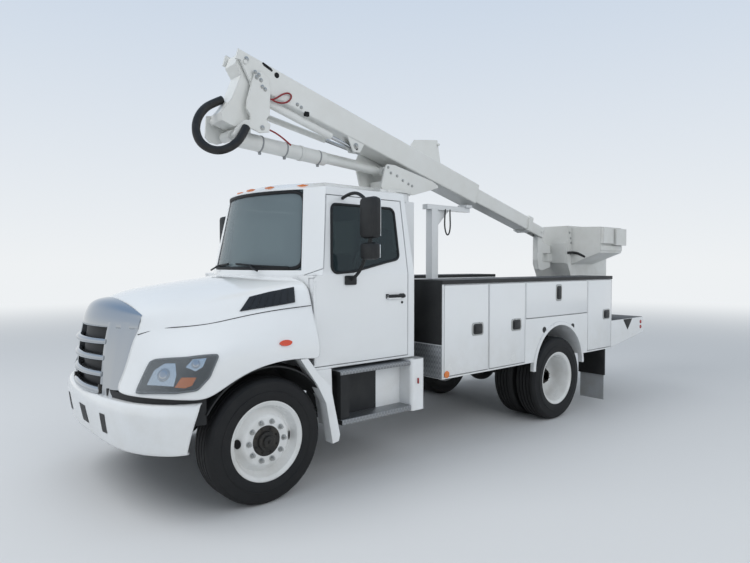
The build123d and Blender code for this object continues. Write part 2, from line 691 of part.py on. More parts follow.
def lid(y, z, edge):
    """A compartment door with its hinge barrel and paddle latch."""
    panel = span_box((HALF_WIDTH - DOOR_THICKNESS, HALF_WIDTH), y, z)
    if edge == "front":
        barrel = rod((HALF_WIDTH, y[0], z[0] + 40), (HALF_WIDTH, y[0], z[1] - 40), LID_HINGE_RADIUS)
        latch = span_box((HALF_WIDTH - 2, HALF_WIDTH + 14), (y[1] - 150, y[1] - 40), (1320, 1410))
    else:
        barrel = rod((HALF_WIDTH, y[0] + 40, z[0]), (HALF_WIDTH, y[1] - 40, z[0]), LID_HINGE_RADIUS)
        middle = (y[0] + y[1]) / 2
        latch = span_box((HALF_WIDTH - 2, HALF_WIDTH + 14), (middle - 35, middle + 35), (1480, 1600))
    return panel + barrel + latch


def body_deck():
    """The load floor between the compartments, its front bulkhead and the tailshelf behind."""
    inner_x = HALF_WIDTH - BODY_DEPTH
    floor = span_box((-inner_x, inner_x), (BODY_Y[0], BODY_Y[1]), DECK_Z)
    floor += span_box((-inner_x, inner_x), (BODY_Y[0], BODY_Y[0] + SHEET), (DECK_Z[0], 1500))
    for x in (-RAIL_X + RAIL_WIDTH / 2, RAIL_X - RAIL_WIDTH / 2):
        floor += span_box((x - 35, x + 35), BODY_Y, (RAIL_Z[1], DECK_Z[0]))
    shelf = side_plate([(BODY_Y[1], 735), (TAIL_Y, TAIL_END_Z), (TAIL_Y, DECK_Z[1]), (BODY_Y[1], DECK_Z[1])],
                       (-HALF_WIDTH, HALF_WIDTH))
    hollow = side_plate([(BODY_Y[1] - 5, 600), (TAIL_Y - 40, 600), (TAIL_Y - 40, DECK_Z[0]),
                         (BODY_Y[1] - 5, DECK_Z[0])], (-HALF_WIDTH + 40, HALF_WIDTH - 40))
    shelf -= hollow
    for x in (-RAIL_X + RAIL_WIDTH / 2, RAIL_X - RAIL_WIDTH / 2):
        shelf += span_box((x - 35, x + 35), (BODY_Y[1], FRAME_Y[1]), (RAIL_Z[1], DECK_Z[0] + 1))
    return floor + shelf


def mud_flaps():
    """The flaps behind the rear wheels, hung from plates under the body."""
    y = WHEELBASE + FLAP_BEHIND_AXLE
    plate = span_box((820, 1180), (y, y + 15), (390, BODY_Z[0]))
    flap = span_box((835, 1165), (y + 15, y + 23), (60, 440))
    return both_sides(flap + plate)


def hitch():
    """The rear hitch: a receiver tube on a plate between the frame rails, with four bolt holes."""
    end = FRAME_Y[1]
    plate = span_box((-RAIL_X, RAIL_X), (end, end + 20), (640, RAIL_Z[1]))
    for x in (-HITCH_BOLT_X, HITCH_BOLT_X):
        for z in HITCH_BOLT_Z:
            plate -= rod((x, end - 5, z), (x, end + 25, z), HITCH_BOLT_RADIUS)
    tube = span_box((-35, 35), (end - 250, end + 90), (640, 710))
    tube -= span_box((-26, 26), (end - 260, end + 100), (649, 701))
    plate -= span_box((-26, 26), (end - 5, end + 25), (649, 701))
    return plate + tube


def tail_lamps():
    """Stop and turn lamps in the tailshelf's rear face."""
    pieces = []
    for x in (-1080, -960, 960, 1080):
        lamp = rod((x, TAIL_Y, 980), (x, TAIL_Y + 18, 980), 50)
        pieces.append(lamp)
    return pieces


# Boom

def pedestal():
    """The square column on the frame that carries the turntable's bearing."""
    half = PEDESTAL_HALF
    column = span_box((-half, half), (TURN_Y - half, TURN_Y + half), (DECK_Z[1], BEARING_Z[0] - 30))
    column = chamfer(column.edges().filter_by(Axis.Z), 40)
    column += span_box((-half - 15, half + 15), (TURN_Y - half - 15, TURN_Y + half + 15),
                       (DECK_Z[1], DECK_Z[1] + 25))
    column += rod((0, TURN_Y, BEARING_Z[0] - 40), (0, TURN_Y, BEARING_Z[1]), half + 20)
    return column


def boom_rest():
    """The post behind the column, with the arm and pad that the boom rests on."""
    post = span_box((-50, 50), (2880, 2990), (DECK_Z[1], 2510))
    post += span_box((-90, 90), (2810, 3060), (DECK_Z[1], DECK_Z[1] + 12))
    arm = span_box((-42, 42), (2811, 3590), (2500, 2560))
    gusset = side_plate([(2985, 2505), (3230, 2505), (2985, 2270)], (-8, 8))
    pad = span_box((-75, 75), (3490, 3600), (2555, 2592))
    return post + arm + gusset + pad


def turret():
    """The turning base: a bearing plate and two side plates that hold the arm's and the link's pins."""
    base_z = BEARING_Z[1] + PIN_GAP
    base = rod((0, TURN_Y, base_z), (0, TURN_Y, base_z + 35), PEDESTAL_HALF + 40)
    near = [(1960, 2680), (2000, 2625), (2450, 2625), (2861, 2740), (2861, 2765), (2759, 2812), (2160, 2935),
            (2050, 2935), (2020, 2900)]
    far = [(1930, 2680), (2000, 2625), (2450, 2625), (2640, 2780), (2420, 3010), (2200, 3110), (2090, 3110),
           (1900, 3060), (1850, 2960)]
    plates = side_plate(near, PLATE_X) + side_plate(far, (-PLATE_X[1], -PLATE_X[0]))
    link_pin = (ARM_PIN[0] + LINK_OFFSET[0], ARM_PIN[1] + LINK_OFFSET[1])
    plates += cross_pin(ARM_PIN, PIN_RADIUS, (-PLATE_X[1], PLATE_X[1]))
    plates += cross_pin(link_pin, PIN_RADIUS, (-PLATE_X[1], LINK_X + LINK_HALF + 4))
    plates += span_box((-PLATE_X[1], PLATE_X[1]), (2300, 2360), (2630, 2760))
    housing = span_box((-120, 120), (TURN_Y - 100, TURN_Y + 160), (base_z + 30, 2760))
    return base + plates + housing


def tube_member(start, end, x, radius, boss, width):
    """A round bar between two pins, with a bored boss at each end."""
    bar = rod(at_x(start, x), at_x(end, x), radius)
    for pin in (start, end):
        bar += cross_pin(pin, boss, (x - width / 2, x + width / 2))
    for pin in (start, end):
        bar -= cross_pin(pin, PIN_RADIUS + PIN_GAP, (x - width, x + width))
    return bar


def lower_arm():
    """The lower arm: a stout insulating tube in steel sleeves, narrower towards the turret."""
    arm = tube_member(ARM_PIN, ELBOW_PIN, ARM_X, 45, 48, 170)
    tube_end = between(ELBOW_PIN, ARM_PIN, 1080)
    arm += rod(at_x(between(ELBOW_PIN, ARM_PIN, 60), ARM_X), at_x(tube_end, ARM_X), 72)
    arm += rod(at_x(between(ELBOW_PIN, ARM_PIN, 60), ARM_X), at_x(between(ELBOW_PIN, ARM_PIN, 330), ARM_X), 78)
    arm += rod(at_x(between(ELBOW_PIN, ARM_PIN, 770), ARM_X), at_x(between(ELBOW_PIN, ARM_PIN, 800), ARM_X), 77)
    return arm


def link():
    """The flat link beside the lower arm that keeps the elbow upright; its eye at the elbow hangs open."""
    start = (ARM_PIN[0] + LINK_OFFSET[0], ARM_PIN[1] + LINK_OFFSET[1])
    end = (ELBOW_PIN[0] + LINK_OFFSET[0], ELBOW_PIN[1] + LINK_OFFSET[1])
    x = (LINK_X - LINK_HALF, LINK_X + LINK_HALF)
    bar = side_plate([(start[0], start[1] - 24), (start[0], start[1] + 24), (end[0], end[1] + 24),
                      (end[0], end[1] - 24)], x)
    for pin in (start, end):
        bar += cross_pin(pin, 30, x)
    for pin in (start, end):
        bar -= cross_pin(pin, PIN_RADIUS + PIN_GAP, (x[0] - 5, x[1] + 5))
    return bar


def elbow():
    """The casting between the lower arm and the boom, with the plates that flank the boom's foot."""
    head = side_plate([(296, 3745), (262, 3650), (320, 3560), (233, 3348), (176, 3257), (120, 3190), (130, 3120),
                       (250, 3080), (384, 3140), (424, 3205), (478, 3428), (492, 3513), (440, 3600), (425, 3700),
                       (370, 3755)], (-100, 100))
    head -= cross_pin(BOOM_CYLINDER_FOOT, 60, (40, 110))
    cheek = side_plate([(423, 3590), (390, 3479), (345, 3324), (338, 3244), (376, 3194), (439, 3176), (540, 3179),
                        (575, 3224), (585, 3457), (566, 3560), (500, 3610)], PLATE_X)
    cheek += side_plate([(312, 3139), (426, 3157), (530, 3175), (583, 3140), (569, 3064), (477, 3045), (375, 3075)],
                        PLATE_X)
    cheek += side_plate([(376, 3140), (376, 3200), (540, 3200), (560, 3140)], PLATE_X)
    cheek += side_plate([(395, 3085), (345, 3050), (300, 2975), (240, 2960), (205, 2990), (225, 3050), (312, 3139)],
                        PLATE_X)
    far = side_plate([(83, 3003), (97, 3198), (300, 3230), (420, 3180), (550, 3150), (550, 3085), (480, 3070),
                      (300, 2990), (205, 2951), (125, 2963)], (-PLATE_X[1], -PLATE_X[0]))
    far += side_plate([(380, 3400), (735, 3370), (745, 3270), (440, 3150), (300, 3220)], (-PLATE_X[1], -PLATE_X[0]))
    link_pin = (ELBOW_PIN[0] + LINK_OFFSET[0], ELBOW_PIN[1] + LINK_OFFSET[1])
    pins = cross_pin(ELBOW_PIN, PIN_RADIUS, (-PLATE_X[1], PLATE_X[1]))
    pins += cross_pin(link_pin, PIN_RADIUS, (-PLATE_X[1], LINK_X + LINK_HALF + 4))
    pins += cross_pin(BOOM_CYLINDER_FOOT, PIN_RADIUS, (0, PLATE_X[1]))
    pins += cross_pin(BOOM_PIN, PIN_RADIUS, (-BOOM_WIDTH / 2 - 12, BOOM_WIDTH / 2 + 12))
    pins += cross_pin((ARM_CYLINDER_FOOT[0] - 10, ARM_CYLINDER_FOOT[1]), 42, (-178, -PLATE_X[0]))
    pins += cross_pin(ARM_CYLINDER_FOOT, PIN_RADIUS, (-250, -PLATE_X[0]))
    drum = cross_pin((430, 3280), 105, (-255, 30)) + cross_pin((430, 3250), 60, (0, PLATE_X[0]))
    drum += cross_pin((160, 3150), 35, (-PLATE_X[0], 0))
    return head + cheek + far + pins + drum


def cylinder(foot, eye, x, barrel_radius, rod_radius, barrel_length):
    """A hydraulic cylinder's barrel, pinned at its foot, and its rod, which ends in an open eye."""
    tip = between(foot, eye, barrel_length)
    barrel = rod(at_x(foot, x), at_x(tip, x), barrel_radius)
    barrel += cross_pin(foot, barrel_radius + 2, (x - 32, x + 32))
    barrel -= rod(at_x(between(foot, eye, 70), x), at_x(between(foot, eye, barrel_length + 5), x),
                  rod_radius + PIN_GAP)
    barrel -= cross_pin(foot, PIN_RADIUS + PIN_GAP, (x - 60, x + 60))
    inner_end = between(foot, eye, 90)
    reach = hypot(eye[0] - foot[0], eye[1] - foot[1])
    piston = rod(at_x(inner_end, x), at_x(between(foot, eye, reach - 20), x), rod_radius)
    piston += cross_pin(eye, 34, (x - 20, x + 20))
    piston -= cross_pin(eye, PIN_RADIUS + PIN_GAP, (x - 30, x + 30))
    return barrel, piston


def boom_plane(along, above=0):
    """A plane square to the boom: its centre lies along the boom from the pin, raised across it."""
    lean = radians(BOOM_SLOPE)
    y = BOOM_PIN[0] + along * cos(lean) - (above + boom_centre()) * sin(lean)
    z = BOOM_PIN[1] + along * sin(lean) + (above + boom_centre()) * cos(lean)
    return Plane(origin=(0, y, z), x_dir=(1, 0, 0), z_dir=(0, cos(lean), sin(lean)))


def boom_centre():
    """How far the boom's middle lies above the line through its pin."""
    return -38


def box_section(start, end, width, depth, above=0, wall=0):
    """A straight piece of box-shaped boom."""
    length = end - start
    plane = boom_plane(start, above)
    section = extrude(plane * RectangleRounded(width, depth, 18), amount=length)
    if wall:
        section -= extrude(plane * Rectangle(width - 2 * wall, depth - 2 * wall), amount=length)
    return section


def boom_outer():
    """The upper boom's outer section: a tube with a fork round the elbow's head and a lug for its cylinder."""
    tube = box_section(FORK_LENGTH, BOOM_REACH[1], BOOM_WIDTH, BOOM_DEPTH, wall=BOOM_WALL)
    tube += box_section(FORK_LENGTH, FORK_LENGTH + 15, BOOM_WIDTH, BOOM_DEPTH)
    fork = box_section(BOOM_REACH[0], FORK_LENGTH + 5, BOOM_WIDTH, BOOM_DEPTH)
    fork -= box_section(BOOM_REACH[0] - 5, FORK_LENGTH + 10, BOOM_WIDTH - 50, BOOM_DEPTH + 20)
    fork -= cross_pin(BOOM_PIN, PIN_RADIUS + PIN_GAP, (-200, 200))
    fork -= side_plate([(200, 3690), (296, 3680), (339, 3598), (395, 3502), (395, 3300), (200, 3300)], (-200, 200))
    bracket = side_plate([(2500, 3150), (2623, 3305), (3017, 3355), (3085, 3010)], (-8, 8))
    bracket += cross_pin((3018, 3299), 16, (-34, 34))
    lug_top = (BOOM_CYLINDER_EYE[0], BOOM_CYLINDER_EYE[1] + 100)
    lug_x = (BOOM_CYLINDER_X - 45, BOOM_CYLINDER_X - 28)
    ears = None
    for x in (lug_x, (BOOM_CYLINDER_X + 28, BOOM_CYLINDER_X + 45)):
        ear = side_plate([(lug_top[0] - 150, lug_top[1] + 60), (BOOM_CYLINDER_EYE[0] - 45, BOOM_CYLINDER_EYE[1] - 40),
                          (BOOM_CYLINDER_EYE[0] + 45, BOOM_CYLINDER_EYE[1] - 40), (lug_top[0] + 130, lug_top[1])], x)
        ear -= cross_pin(BOOM_CYLINDER_EYE, PIN_RADIUS, (0, 200))
        ears = ear if ears is None else ears + ear
    hollow = box_section(FORK_LENGTH - 200, BOOM_REACH[1] + 5, BOOM_WIDTH - 2 * BOOM_WALL, BOOM_DEPTH - 2 * BOOM_WALL)
    guide = (BOOM_REACH[1] - 120, BOOM_REACH[1] - 20)
    pad = box_section(*guide, BOOM_WIDTH - 10, BOOM_DEPTH - 10)
    pad -= box_section(guide[0] - 5, guide[1] + 5, INNER_WIDTH + 2 * PIN_GAP, INNER_DEPTH + 2 * PIN_GAP)
    return tube + fork + ((ears + bracket) - hollow) + pad


def boom_inner():
    """The telescoping section with its end collar and the tip that carries the platform's mast."""
    inner = box_section(INNER_REACH[0], INNER_REACH[1], INNER_WIDTH, INNER_DEPTH, wall=10)
    inner += box_section(INNER_REACH[1] - 20, INNER_REACH[1], INNER_WIDTH, INNER_DEPTH)
    for start in (INNER_REACH[0], INNER_REACH[0] + 300):
        pad = box_section(start, start + 60, BOOM_WIDTH - 2 * BOOM_WALL - 0.6, BOOM_DEPTH - 2 * BOOM_WALL - 0.6)
        inner += pad - box_section(start - 5, start + 65, INNER_WIDTH - 10, INNER_DEPTH - 10)
    collar = box_section(INNER_REACH[1] - 90, INNER_REACH[1], INNER_WIDTH + 40, INNER_DEPTH + 30)
    collar -= box_section(INNER_REACH[1] - 95, INNER_REACH[1] + 5, INNER_WIDTH - 10, INNER_DEPTH - 10)
    pin = hypot(TIP_PIN[0] - BOOM_PIN[0], TIP_PIN[1] - BOOM_PIN[1])
    fork = (pin + TIP_FORK[0], pin + TIP_FORK[1])
    tip = box_section(INNER_REACH[1] - 15, fork[0], TIP_WIDTH, TIP_DEPTH)
    tip += box_section(fork[0] - 5, fork[1], TIP_WIDTH, TIP_DEPTH)
    tip -= box_section(fork[0], fork[1] + 5, TIP_WIDTH - 2 * TIP_WALL, TIP_DEPTH, above=-TIP_WALL)
    tip -= cross_pin(TIP_PIN, PIN_RADIUS + PIN_GAP, (-TIP_WIDTH, TIP_WIDTH))
    return inner + collar + tip


def leveller():
    """The platform's mast: it hangs from the boom's tip and carries the turning column."""
    pin_y, pin_z = TIP_PIN
    mast = cross_pin(TIP_PIN, 40, (-MAST_HALF, MAST_HALF))
    mast += cross_pin(TIP_PIN, PIN_RADIUS, (-TIP_WIDTH / 2 - 8, TIP_WIDTH / 2 + 8))
    mast += side_plate([(pin_y - 40, pin_z), (pin_y + 40, pin_z), (pin_y + 70, 2160), (ROTATE_Y + 32, 2110),
                        (ROTATE_Y + 32, BRACKET_Z[1] + 6), (pin_y + 70, BRACKET_Z[1] + 6),
                        (pin_y + 70, BRACKET_Z[0] - 6), (ROTATE_Y + 32, BRACKET_Z[0] - 6),
                        (ROTATE_Y + 32, 1790), (pin_y + 60, 1740), (pin_y - 30, 1760), (pin_y - 60, 1900),
                        (pin_y - 60, 2150)], (-MAST_HALF, MAST_HALF))
    mast += rod((0, ROTATE_Y, 1800), (0, ROTATE_Y, 2100), PIVOT_RADIUS)
    return mast


def platform():
    """The platform's tub with a side tray, and the bracket that turns on the mast's column."""
    front, rear = PLATFORM_FRONT_Y, PLATFORM_END_Y
    low, top = PLATFORM_Z
    wall = PLATFORM_WALL
    outline = [(front, top), (front, PLATFORM_TOE_Z), (PLATFORM_TOE_Y, low), (rear, low), (rear, top)]
    inside = [(front + wall, top + 5), (front + wall, PLATFORM_TOE_Z + 10), (PLATFORM_TOE_Y + 10, low + wall),
              (rear - wall, low + wall), (rear - wall, top + 5)]
    tub = side_plate(outline, (-PLATFORM_HALF, PLATFORM_HALF))
    tub -= side_plate(inside, (-PLATFORM_HALF + wall, PLATFORM_HALF - wall))
    tray = front_plate([(PLATFORM_HALF - 5, 1830), (TRAY_X, 2000), (TRAY_X, 2370), (PLATFORM_HALF - 5, 2385)], TRAY_Y)
    tray -= front_plate([(PLATFORM_HALF, 1860), (TRAY_X - 20, 2020), (TRAY_X - 20, 2400), (PLATFORM_HALF, 2400)],
                        (TRAY_Y[0] + 20, TRAY_Y[1] - 20))
    bracket = rod((0, ROTATE_Y, BRACKET_Z[0]), (0, ROTATE_Y, BRACKET_Z[1]), PIVOT_RADIUS + 20)
    bracket += span_box((-45, 45), (ROTATE_Y, front + 5), BRACKET_Z)
    bracket -= rod((0, ROTATE_Y, BRACKET_Z[0] - 10), (0, ROTATE_Y, BRACKET_Z[1] + 10), PIVOT_RADIUS + PIN_GAP)
    plate = span_box((-PLATFORM_HALF + 40, PLATFORM_HALF - 40), (front - 12, front + 2), (BRACKET_Z[0] - 20, 2150))
    return tub + tray + bracket + plate + platform_boxes()


def platform_boxes():
    """The covers on the tray's end, over the platform's controls."""
    lower = span_box((TRAY_X, TRAY_X + 50), (TRAY_Y[0] + 20, TRAY_Y[0] + 300), (2130, 2360))
    upper = span_box((TRAY_X, TRAY_X + 80), (TRAY_Y[0] + 320, TRAY_Y[1]), (2110, 2350))
    lip = span_box((TRAY_X, TRAY_X + 14), (TRAY_Y[0], TRAY_Y[1]), (2030, 2105))
    return lower + upper + lip


def hose_loop(casting):
    """The bundle of hoses that loops out in front of the elbow and back under its near cheek."""
    route = [(-50, 205, 3345), (-50, 135, 3308), (-40, 34, 3243), (-20, -46, 3137), (20, -85, 3014),
             (80, -75, 2902), (150, -16, 2835), (200, 67, 2823), (212, 170, 2873), (208, 258, 2957), (185, 324, 3073)]
    with BuildLine() as path:
        Spline(*route)
    start = path.line @ 0
    section = Plane(origin=start, z_dir=path.line % 0) * Circle(38)
    hose = sweep(section, path=path.line) - casting
    return max(hose.solids(), key=lambda solid: solid.volume)


def save(name, piece):
    """Write one node, moved so that the origin lies under the middle of the vehicle."""
    middle = (PLATFORM_END_Y - FRONT_OVERHANG) / 2
    solids = [solid.moved(Location((0, -middle, 0))) for solid in piece.solids()]
    shape = solids[0] if len(solids) == 1 else Compound(children=solids)
    export_step(shape, f"parts/{name}.step")


def main():
    os.makedirs("parts", exist_ok=True)
    outer, inner, skin = cab_solid(0), cab_solid(CAB_WALL), glass_skin()
    tyre_front, rim_front = front_wheel()
    tyre_rear, rim_rear = rear_wheel()
    arm_barrel, arm_rod = cylinder(ARM_CYLINDER_FOOT, ARM_CYLINDER_EYE, ARM_CYLINDER_X, 32, 20, 800)
    boom_barrel, boom_rod = cylinder(BOOM_CYLINDER_FOOT, BOOM_CYLINDER_EYE, BOOM_CYLINDER_X, 38, 20, 840)
    casting = elbow()
    nodes = {
        "chassis_frame": chassis_frame(),
        "front_axle": front_axle(),
        "rear_axle": rear_axle(),
        "driveline": driveline(),
        "bumper": bumper(),
        "cab_shell": cab_shell(outer, inner),
        "cab_glass": cab_glass(skin),
        "cab_interior": cab_interior(),
        "cab_steps": both_sides(cab_steps()),
        "step_boxes": both_sides(step_boxes()),
        "lamps": Compound(children=[s for lamp in roof_lamps() + tail_lamps() for s in lamp.solids()]),
        "body_left": service_side(),
        "body_right": mirrored(service_side()),
        "top_rails": top_rails(),
        "body_deck": body_deck(),
        "mud_flaps": mud_flaps(),
        "hitch": hitch(),
        "pedestal": pedestal(),
        "boom_rest": boom_rest(),
        "hood": hood(),
        "fenders": both_sides(fender()),
        "grille": grille(),
        "headlamps": both_sides(headlamp()),
        "turret": turret(),
        "lower_arm": lower_arm(),
        "level_link": link(),
        "elbow": casting,
        "hose_loop": hose_loop(casting),
        "arm_cylinder_barrel": arm_barrel,
        "arm_cylinder_rod": arm_rod,
        "boom_cylinder_barrel": boom_barrel,
        "boom_cylinder_rod": boom_rod,
        "boom_outer": boom_outer(),
        "boom_inner": boom_inner(),
        "leveller": leveller(),
        "platform": platform(),
    }
    sided = {
        "cab_door": cab_door(outer, inner),
        "door_glass": cab_door_glass(skin),
        "mirror": mirror() - outer,
        "knuckle": knuckle(),
        "front_tyre": tyre_front,
        "front_rim": rim_front,
        "rear_tyres": tyre_rear,
        "rear_rims": rim_rear,
    }
    for name, y, z, edge in compartment_doors():
        sided[name] = lid(y, z, edge)
    for name, piece in sided.items():
        nodes[name + "_left"] = piece
        nodes[name + "_right"] = mirrored(piece)
    for name, piece in nodes.items():
        save(name, piece)


main()
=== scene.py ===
# %% [markdown]
# A cherry picker truck, finished for the picture. The solids of the truck come in as a fixed frame:
# every one of them already has its size, its place and the body that it moves with. This script gives
# each of them the finish of the real thing, and adds the small pieces that a maker would bolt on last.

import math

import bmesh
import bpy
from mathutils import Matrix, Vector
from mathutils.bvhtree import BVHTree


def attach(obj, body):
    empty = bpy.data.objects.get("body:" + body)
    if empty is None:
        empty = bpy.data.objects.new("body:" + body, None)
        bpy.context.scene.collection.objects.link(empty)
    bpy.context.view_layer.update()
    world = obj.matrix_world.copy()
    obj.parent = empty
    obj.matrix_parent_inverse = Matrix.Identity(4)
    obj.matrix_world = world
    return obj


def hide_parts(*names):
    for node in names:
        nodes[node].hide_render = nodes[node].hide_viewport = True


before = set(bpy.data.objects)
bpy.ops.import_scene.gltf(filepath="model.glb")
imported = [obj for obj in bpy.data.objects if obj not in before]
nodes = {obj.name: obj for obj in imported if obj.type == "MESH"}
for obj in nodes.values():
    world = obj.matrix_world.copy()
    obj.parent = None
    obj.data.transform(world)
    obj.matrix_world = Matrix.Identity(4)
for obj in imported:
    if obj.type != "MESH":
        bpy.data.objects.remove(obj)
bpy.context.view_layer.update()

# %% [markdown]
# The photograph was taken standing at the front corner on the driver's side, at about eye height. Its
# lens and place were worked out from the wheels, the roof and the boom, so the camera stands there.

# %% Camera
PICTURE = (750, 563)
FOCAL_PIXELS = 579.1
EYE = Vector((4.949, -4.997, 1.832))
TURN = math.radians(49.435)
DIP = math.radians(1.702)

camera_data = bpy.data.cameras.new("camera")
camera_data.sensor_width = 36.0
camera_data.lens = FOCAL_PIXELS / PICTURE[0] * camera_data.sensor_width
camera_data.clip_end = 200.0
camera = bpy.data.objects.new("camera", camera_data)
camera.location = EYE
camera.rotation_euler = (math.pi / 2 - DIP, 0.0, TURN)
bpy.context.scene.collection.objects.link(camera)
bpy.context.scene.camera = camera
print("lens:", round(camera_data.lens, 2), "mm")

# %% [markdown]
# Colours are read off as hex values, which are sRGB. A shader works in linear light, so one function
# turns a hex value into the linear colour. A second one adds a node with its settings and links, which
# keeps a material's recipe short enough to read.

# %% Colour and node helpers
def linear(text):
    """An sRGB hex colour as linear red, green, blue and alpha."""
    parts = [int(text[i:i + 2], 16) / 255 for i in (1, 3, 5)]
    return [p / 12.92 if p <= 0.04045 else ((p + 0.055) / 1.055) ** 2.4 for p in parts] + [1.0]


def add_node(tree, kind, inputs=None, **settings):
    """Add a node; an input is a value, or a socket to link from."""
    node = tree.nodes.new(kind)
    for key, value in settings.items():
        setattr(node, key, value)
    for key, value in (inputs or {}).items():
        if isinstance(value, bpy.types.NodeSocket):
            tree.links.new(value, node.inputs[key])
        else:
            node.inputs[key].default_value = value
    return node


def new_material(name):
    """An empty material with its shader, and the Object coordinates that its patterns use."""
    material = bpy.data.materials.new(name)
    material.use_nodes = True
    tree = material.node_tree
    shader = tree.nodes["Principled BSDF"]
    place = add_node(tree, "ShaderNodeTexCoord").outputs["Object"]
    return material, tree, shader, place

# %% [markdown]
# The truck is sprayed in white two-pack enamel. It is glossy and almost smooth, with a slight orange
# peel about 6 mm across, and road film gathers low down: the paint is cleanest on the roof and dustiest by
# the sills. The film is a wide soft noise, weighted by height, that makes the white a little warmer, darker
# and duller. A folded sheet's edge is never sharp, so the shader also rounds each edge by 9 mm.

# %% White enamel
PEEL_MM = 6.25
SOFT_EDGE = 0.009


def enamel(name, clean, film, film_top=1.2, rough=0.2, coat=0.4, dirt=0.5):
    """Sprayed enamel with road film below a height, in metres."""
    material, tree, shader, place = new_material(name)
    height = add_node(tree, "ShaderNodeSeparateXYZ", {"Vector": place}).outputs["Z"]
    low = add_node(tree, "ShaderNodeMapRange", {"Value": height, "From Min": film_top, "From Max": 0.35,
                                                "To Min": 0.04, "To Max": dirt}).outputs["Result"]
    cloud = add_node(tree, "ShaderNodeTexNoise", {"Vector": place, "Scale": 3.2, "Detail": 6.0,
                                                  "Roughness": 0.62}).outputs["Fac"]
    patch = add_node(tree, "ShaderNodeMapRange", {"Value": cloud, "From Min": 0.36,
                                                  "From Max": 0.70}).outputs["Result"]
    amount = add_node(tree, "ShaderNodeMath", {0: low, 1: patch}, operation="MULTIPLY").outputs[0]
    colour = add_node(tree, "ShaderNodeMix", {0: amount, 6: linear(clean), 7: linear(film)}, data_type="RGBA")
    tree.links.new(colour.outputs[2], shader.inputs["Base Color"])
    dull = add_node(tree, "ShaderNodeMapRange", {"Value": amount, "To Min": rough, "To Max": 0.6})
    tree.links.new(dull.outputs["Result"], shader.inputs["Roughness"])
    peel = add_node(tree, "ShaderNodeTexNoise", {"Vector": place, "Scale": 1000.0 / PEEL_MM,
                                                 "Detail": 1.0}).outputs["Fac"]
    soft_edge = add_node(tree, "ShaderNodeBevel", {"Radius": SOFT_EDGE}, samples=4).outputs["Normal"]
    bump = add_node(tree, "ShaderNodeBump", {"Height": peel, "Strength": 0.03, "Distance": 0.002,
                                             "Normal": soft_edge})
    tree.links.new(bump.outputs["Normal"], shader.inputs["Normal"])
    shader.inputs["Coat Weight"].default_value = coat
    shader.inputs["Coat Roughness"].default_value = 0.08
    return material


white_enamel = enamel("white_enamel", "#E9EBEC", "#B9B2A4")
cab_white = enamel("cab_white", "#ECEEEF", "#C2BCB0", rough=0.14, coat=0.7, dirt=0.35)
boom_white = enamel("boom_white", "#E4E5E2", "#BDB7A8", film_top=6.0, dirt=0.22, rough=0.28, coat=0.2)
wheel_enamel = enamel("wheel_enamel", "#E6E7E6", "#A29C90", film_top=1.6, dirt=0.4, rough=0.25, coat=0.3)
grey_enamel = enamel("grey_enamel", "#8E9193", "#77736B", film_top=3.0, dirt=0.4, rough=0.4, coat=0.0)
gelcoat = enamel("gelcoat", "#DCDDDA", "#A8A499", film_top=3.4, dirt=0.6, rough=0.34, coat=0.15)
print("enamels:", [m.name for m in (white_enamel, cab_white, boom_white, wheel_enamel, grey_enamel, gelcoat)])

# %% [markdown]
# The frame, axles and wheels carry dark finishes: chassis paint over castings, rubber, and moulded
# plastic. They share one recipe, a dark colour broken by pale dust, with a grain whose size is that of
# the real surface: 1 mm for grained plastic, 4 mm for a sand casting.

# %% Dark finishes
def dark_finish(name, colour, dust, grain_mm, grain, dusty, rough, metallic=0.0):
    """A dark surface with a grain of a given size in millimetres, and dust in wide patches."""
    material, tree, shader, place = new_material(name)
    cloud = add_node(tree, "ShaderNodeTexNoise", {"Vector": place, "Scale": 5.0, "Detail": 7.0,
                                                  "Roughness": 0.7}).outputs["Fac"]
    amount = add_node(tree, "ShaderNodeMapRange", {"Value": cloud, "From Min": 0.42, "From Max": 0.72,
                                                   "To Max": dusty}).outputs["Result"]
    mix = add_node(tree, "ShaderNodeMix", {0: amount, 6: linear(colour), 7: linear(dust)}, data_type="RGBA")
    tree.links.new(mix.outputs[2], shader.inputs["Base Color"])
    speck = add_node(tree, "ShaderNodeTexNoise", {"Vector": place, "Scale": 1000.0 / grain_mm / 2,
                                                  "Detail": 2.0}).outputs["Fac"]
    bump = add_node(tree, "ShaderNodeBump", {"Height": speck, "Strength": grain, "Distance": 0.001})
    tree.links.new(bump.outputs["Normal"], shader.inputs["Normal"])
    shader.inputs["Roughness"].default_value = rough
    shader.inputs["Metallic"].default_value = metallic
    return material


chassis_black = dark_finish("chassis_black", "#1B1C1D", "#5B564D", 4.0, 0.12, 0.55, 0.5)
cast_iron = dark_finish("cast_iron", "#3B3A38", "#6A645A", 4.0, 0.5, 0.6, 0.62, 0.6)
tyre_rubber = dark_finish("tyre_rubber", "#0C0C0D", "#2B2A28", 3.0, 0.15, 0.25, 0.7)
# Grained black plastic; also black patches of painted shade in the bumper's tow slots.
grained_black_and_slot_shade = dark_finish("grained_black_and_slot_shade", "#161718", "#3A3A38", 2.0, 0.3, 0.3, 0.55)
hose_rubber = dark_finish("hose_rubber", "#141414", "#44423E", 2.0, 0.15, 0.35, 0.5)
cab_trim = dark_finish("cab_trim", "#5E6063", "#6B6963", 2.0, 0.3, 0.3, 0.7)
coated_rail = dark_finish("coated_rail", "#17181A", "#4C4A45", 3.0, 0.25, 0.3, 0.5)
flap_rubber = dark_finish("flap_rubber", "#A3A6A9", "#8C897F", 3.0, 0.2, 0.5, 0.6)
print("materials so far:", len(bpy.data.materials))

# %% [markdown]
# Bright metal: chrome-plated plastic on the grille, hard-chromed rods in the cylinders, and zinc-plated
# fittings and bolts. Chrome is nearly a mirror, and zinc is cloudy.

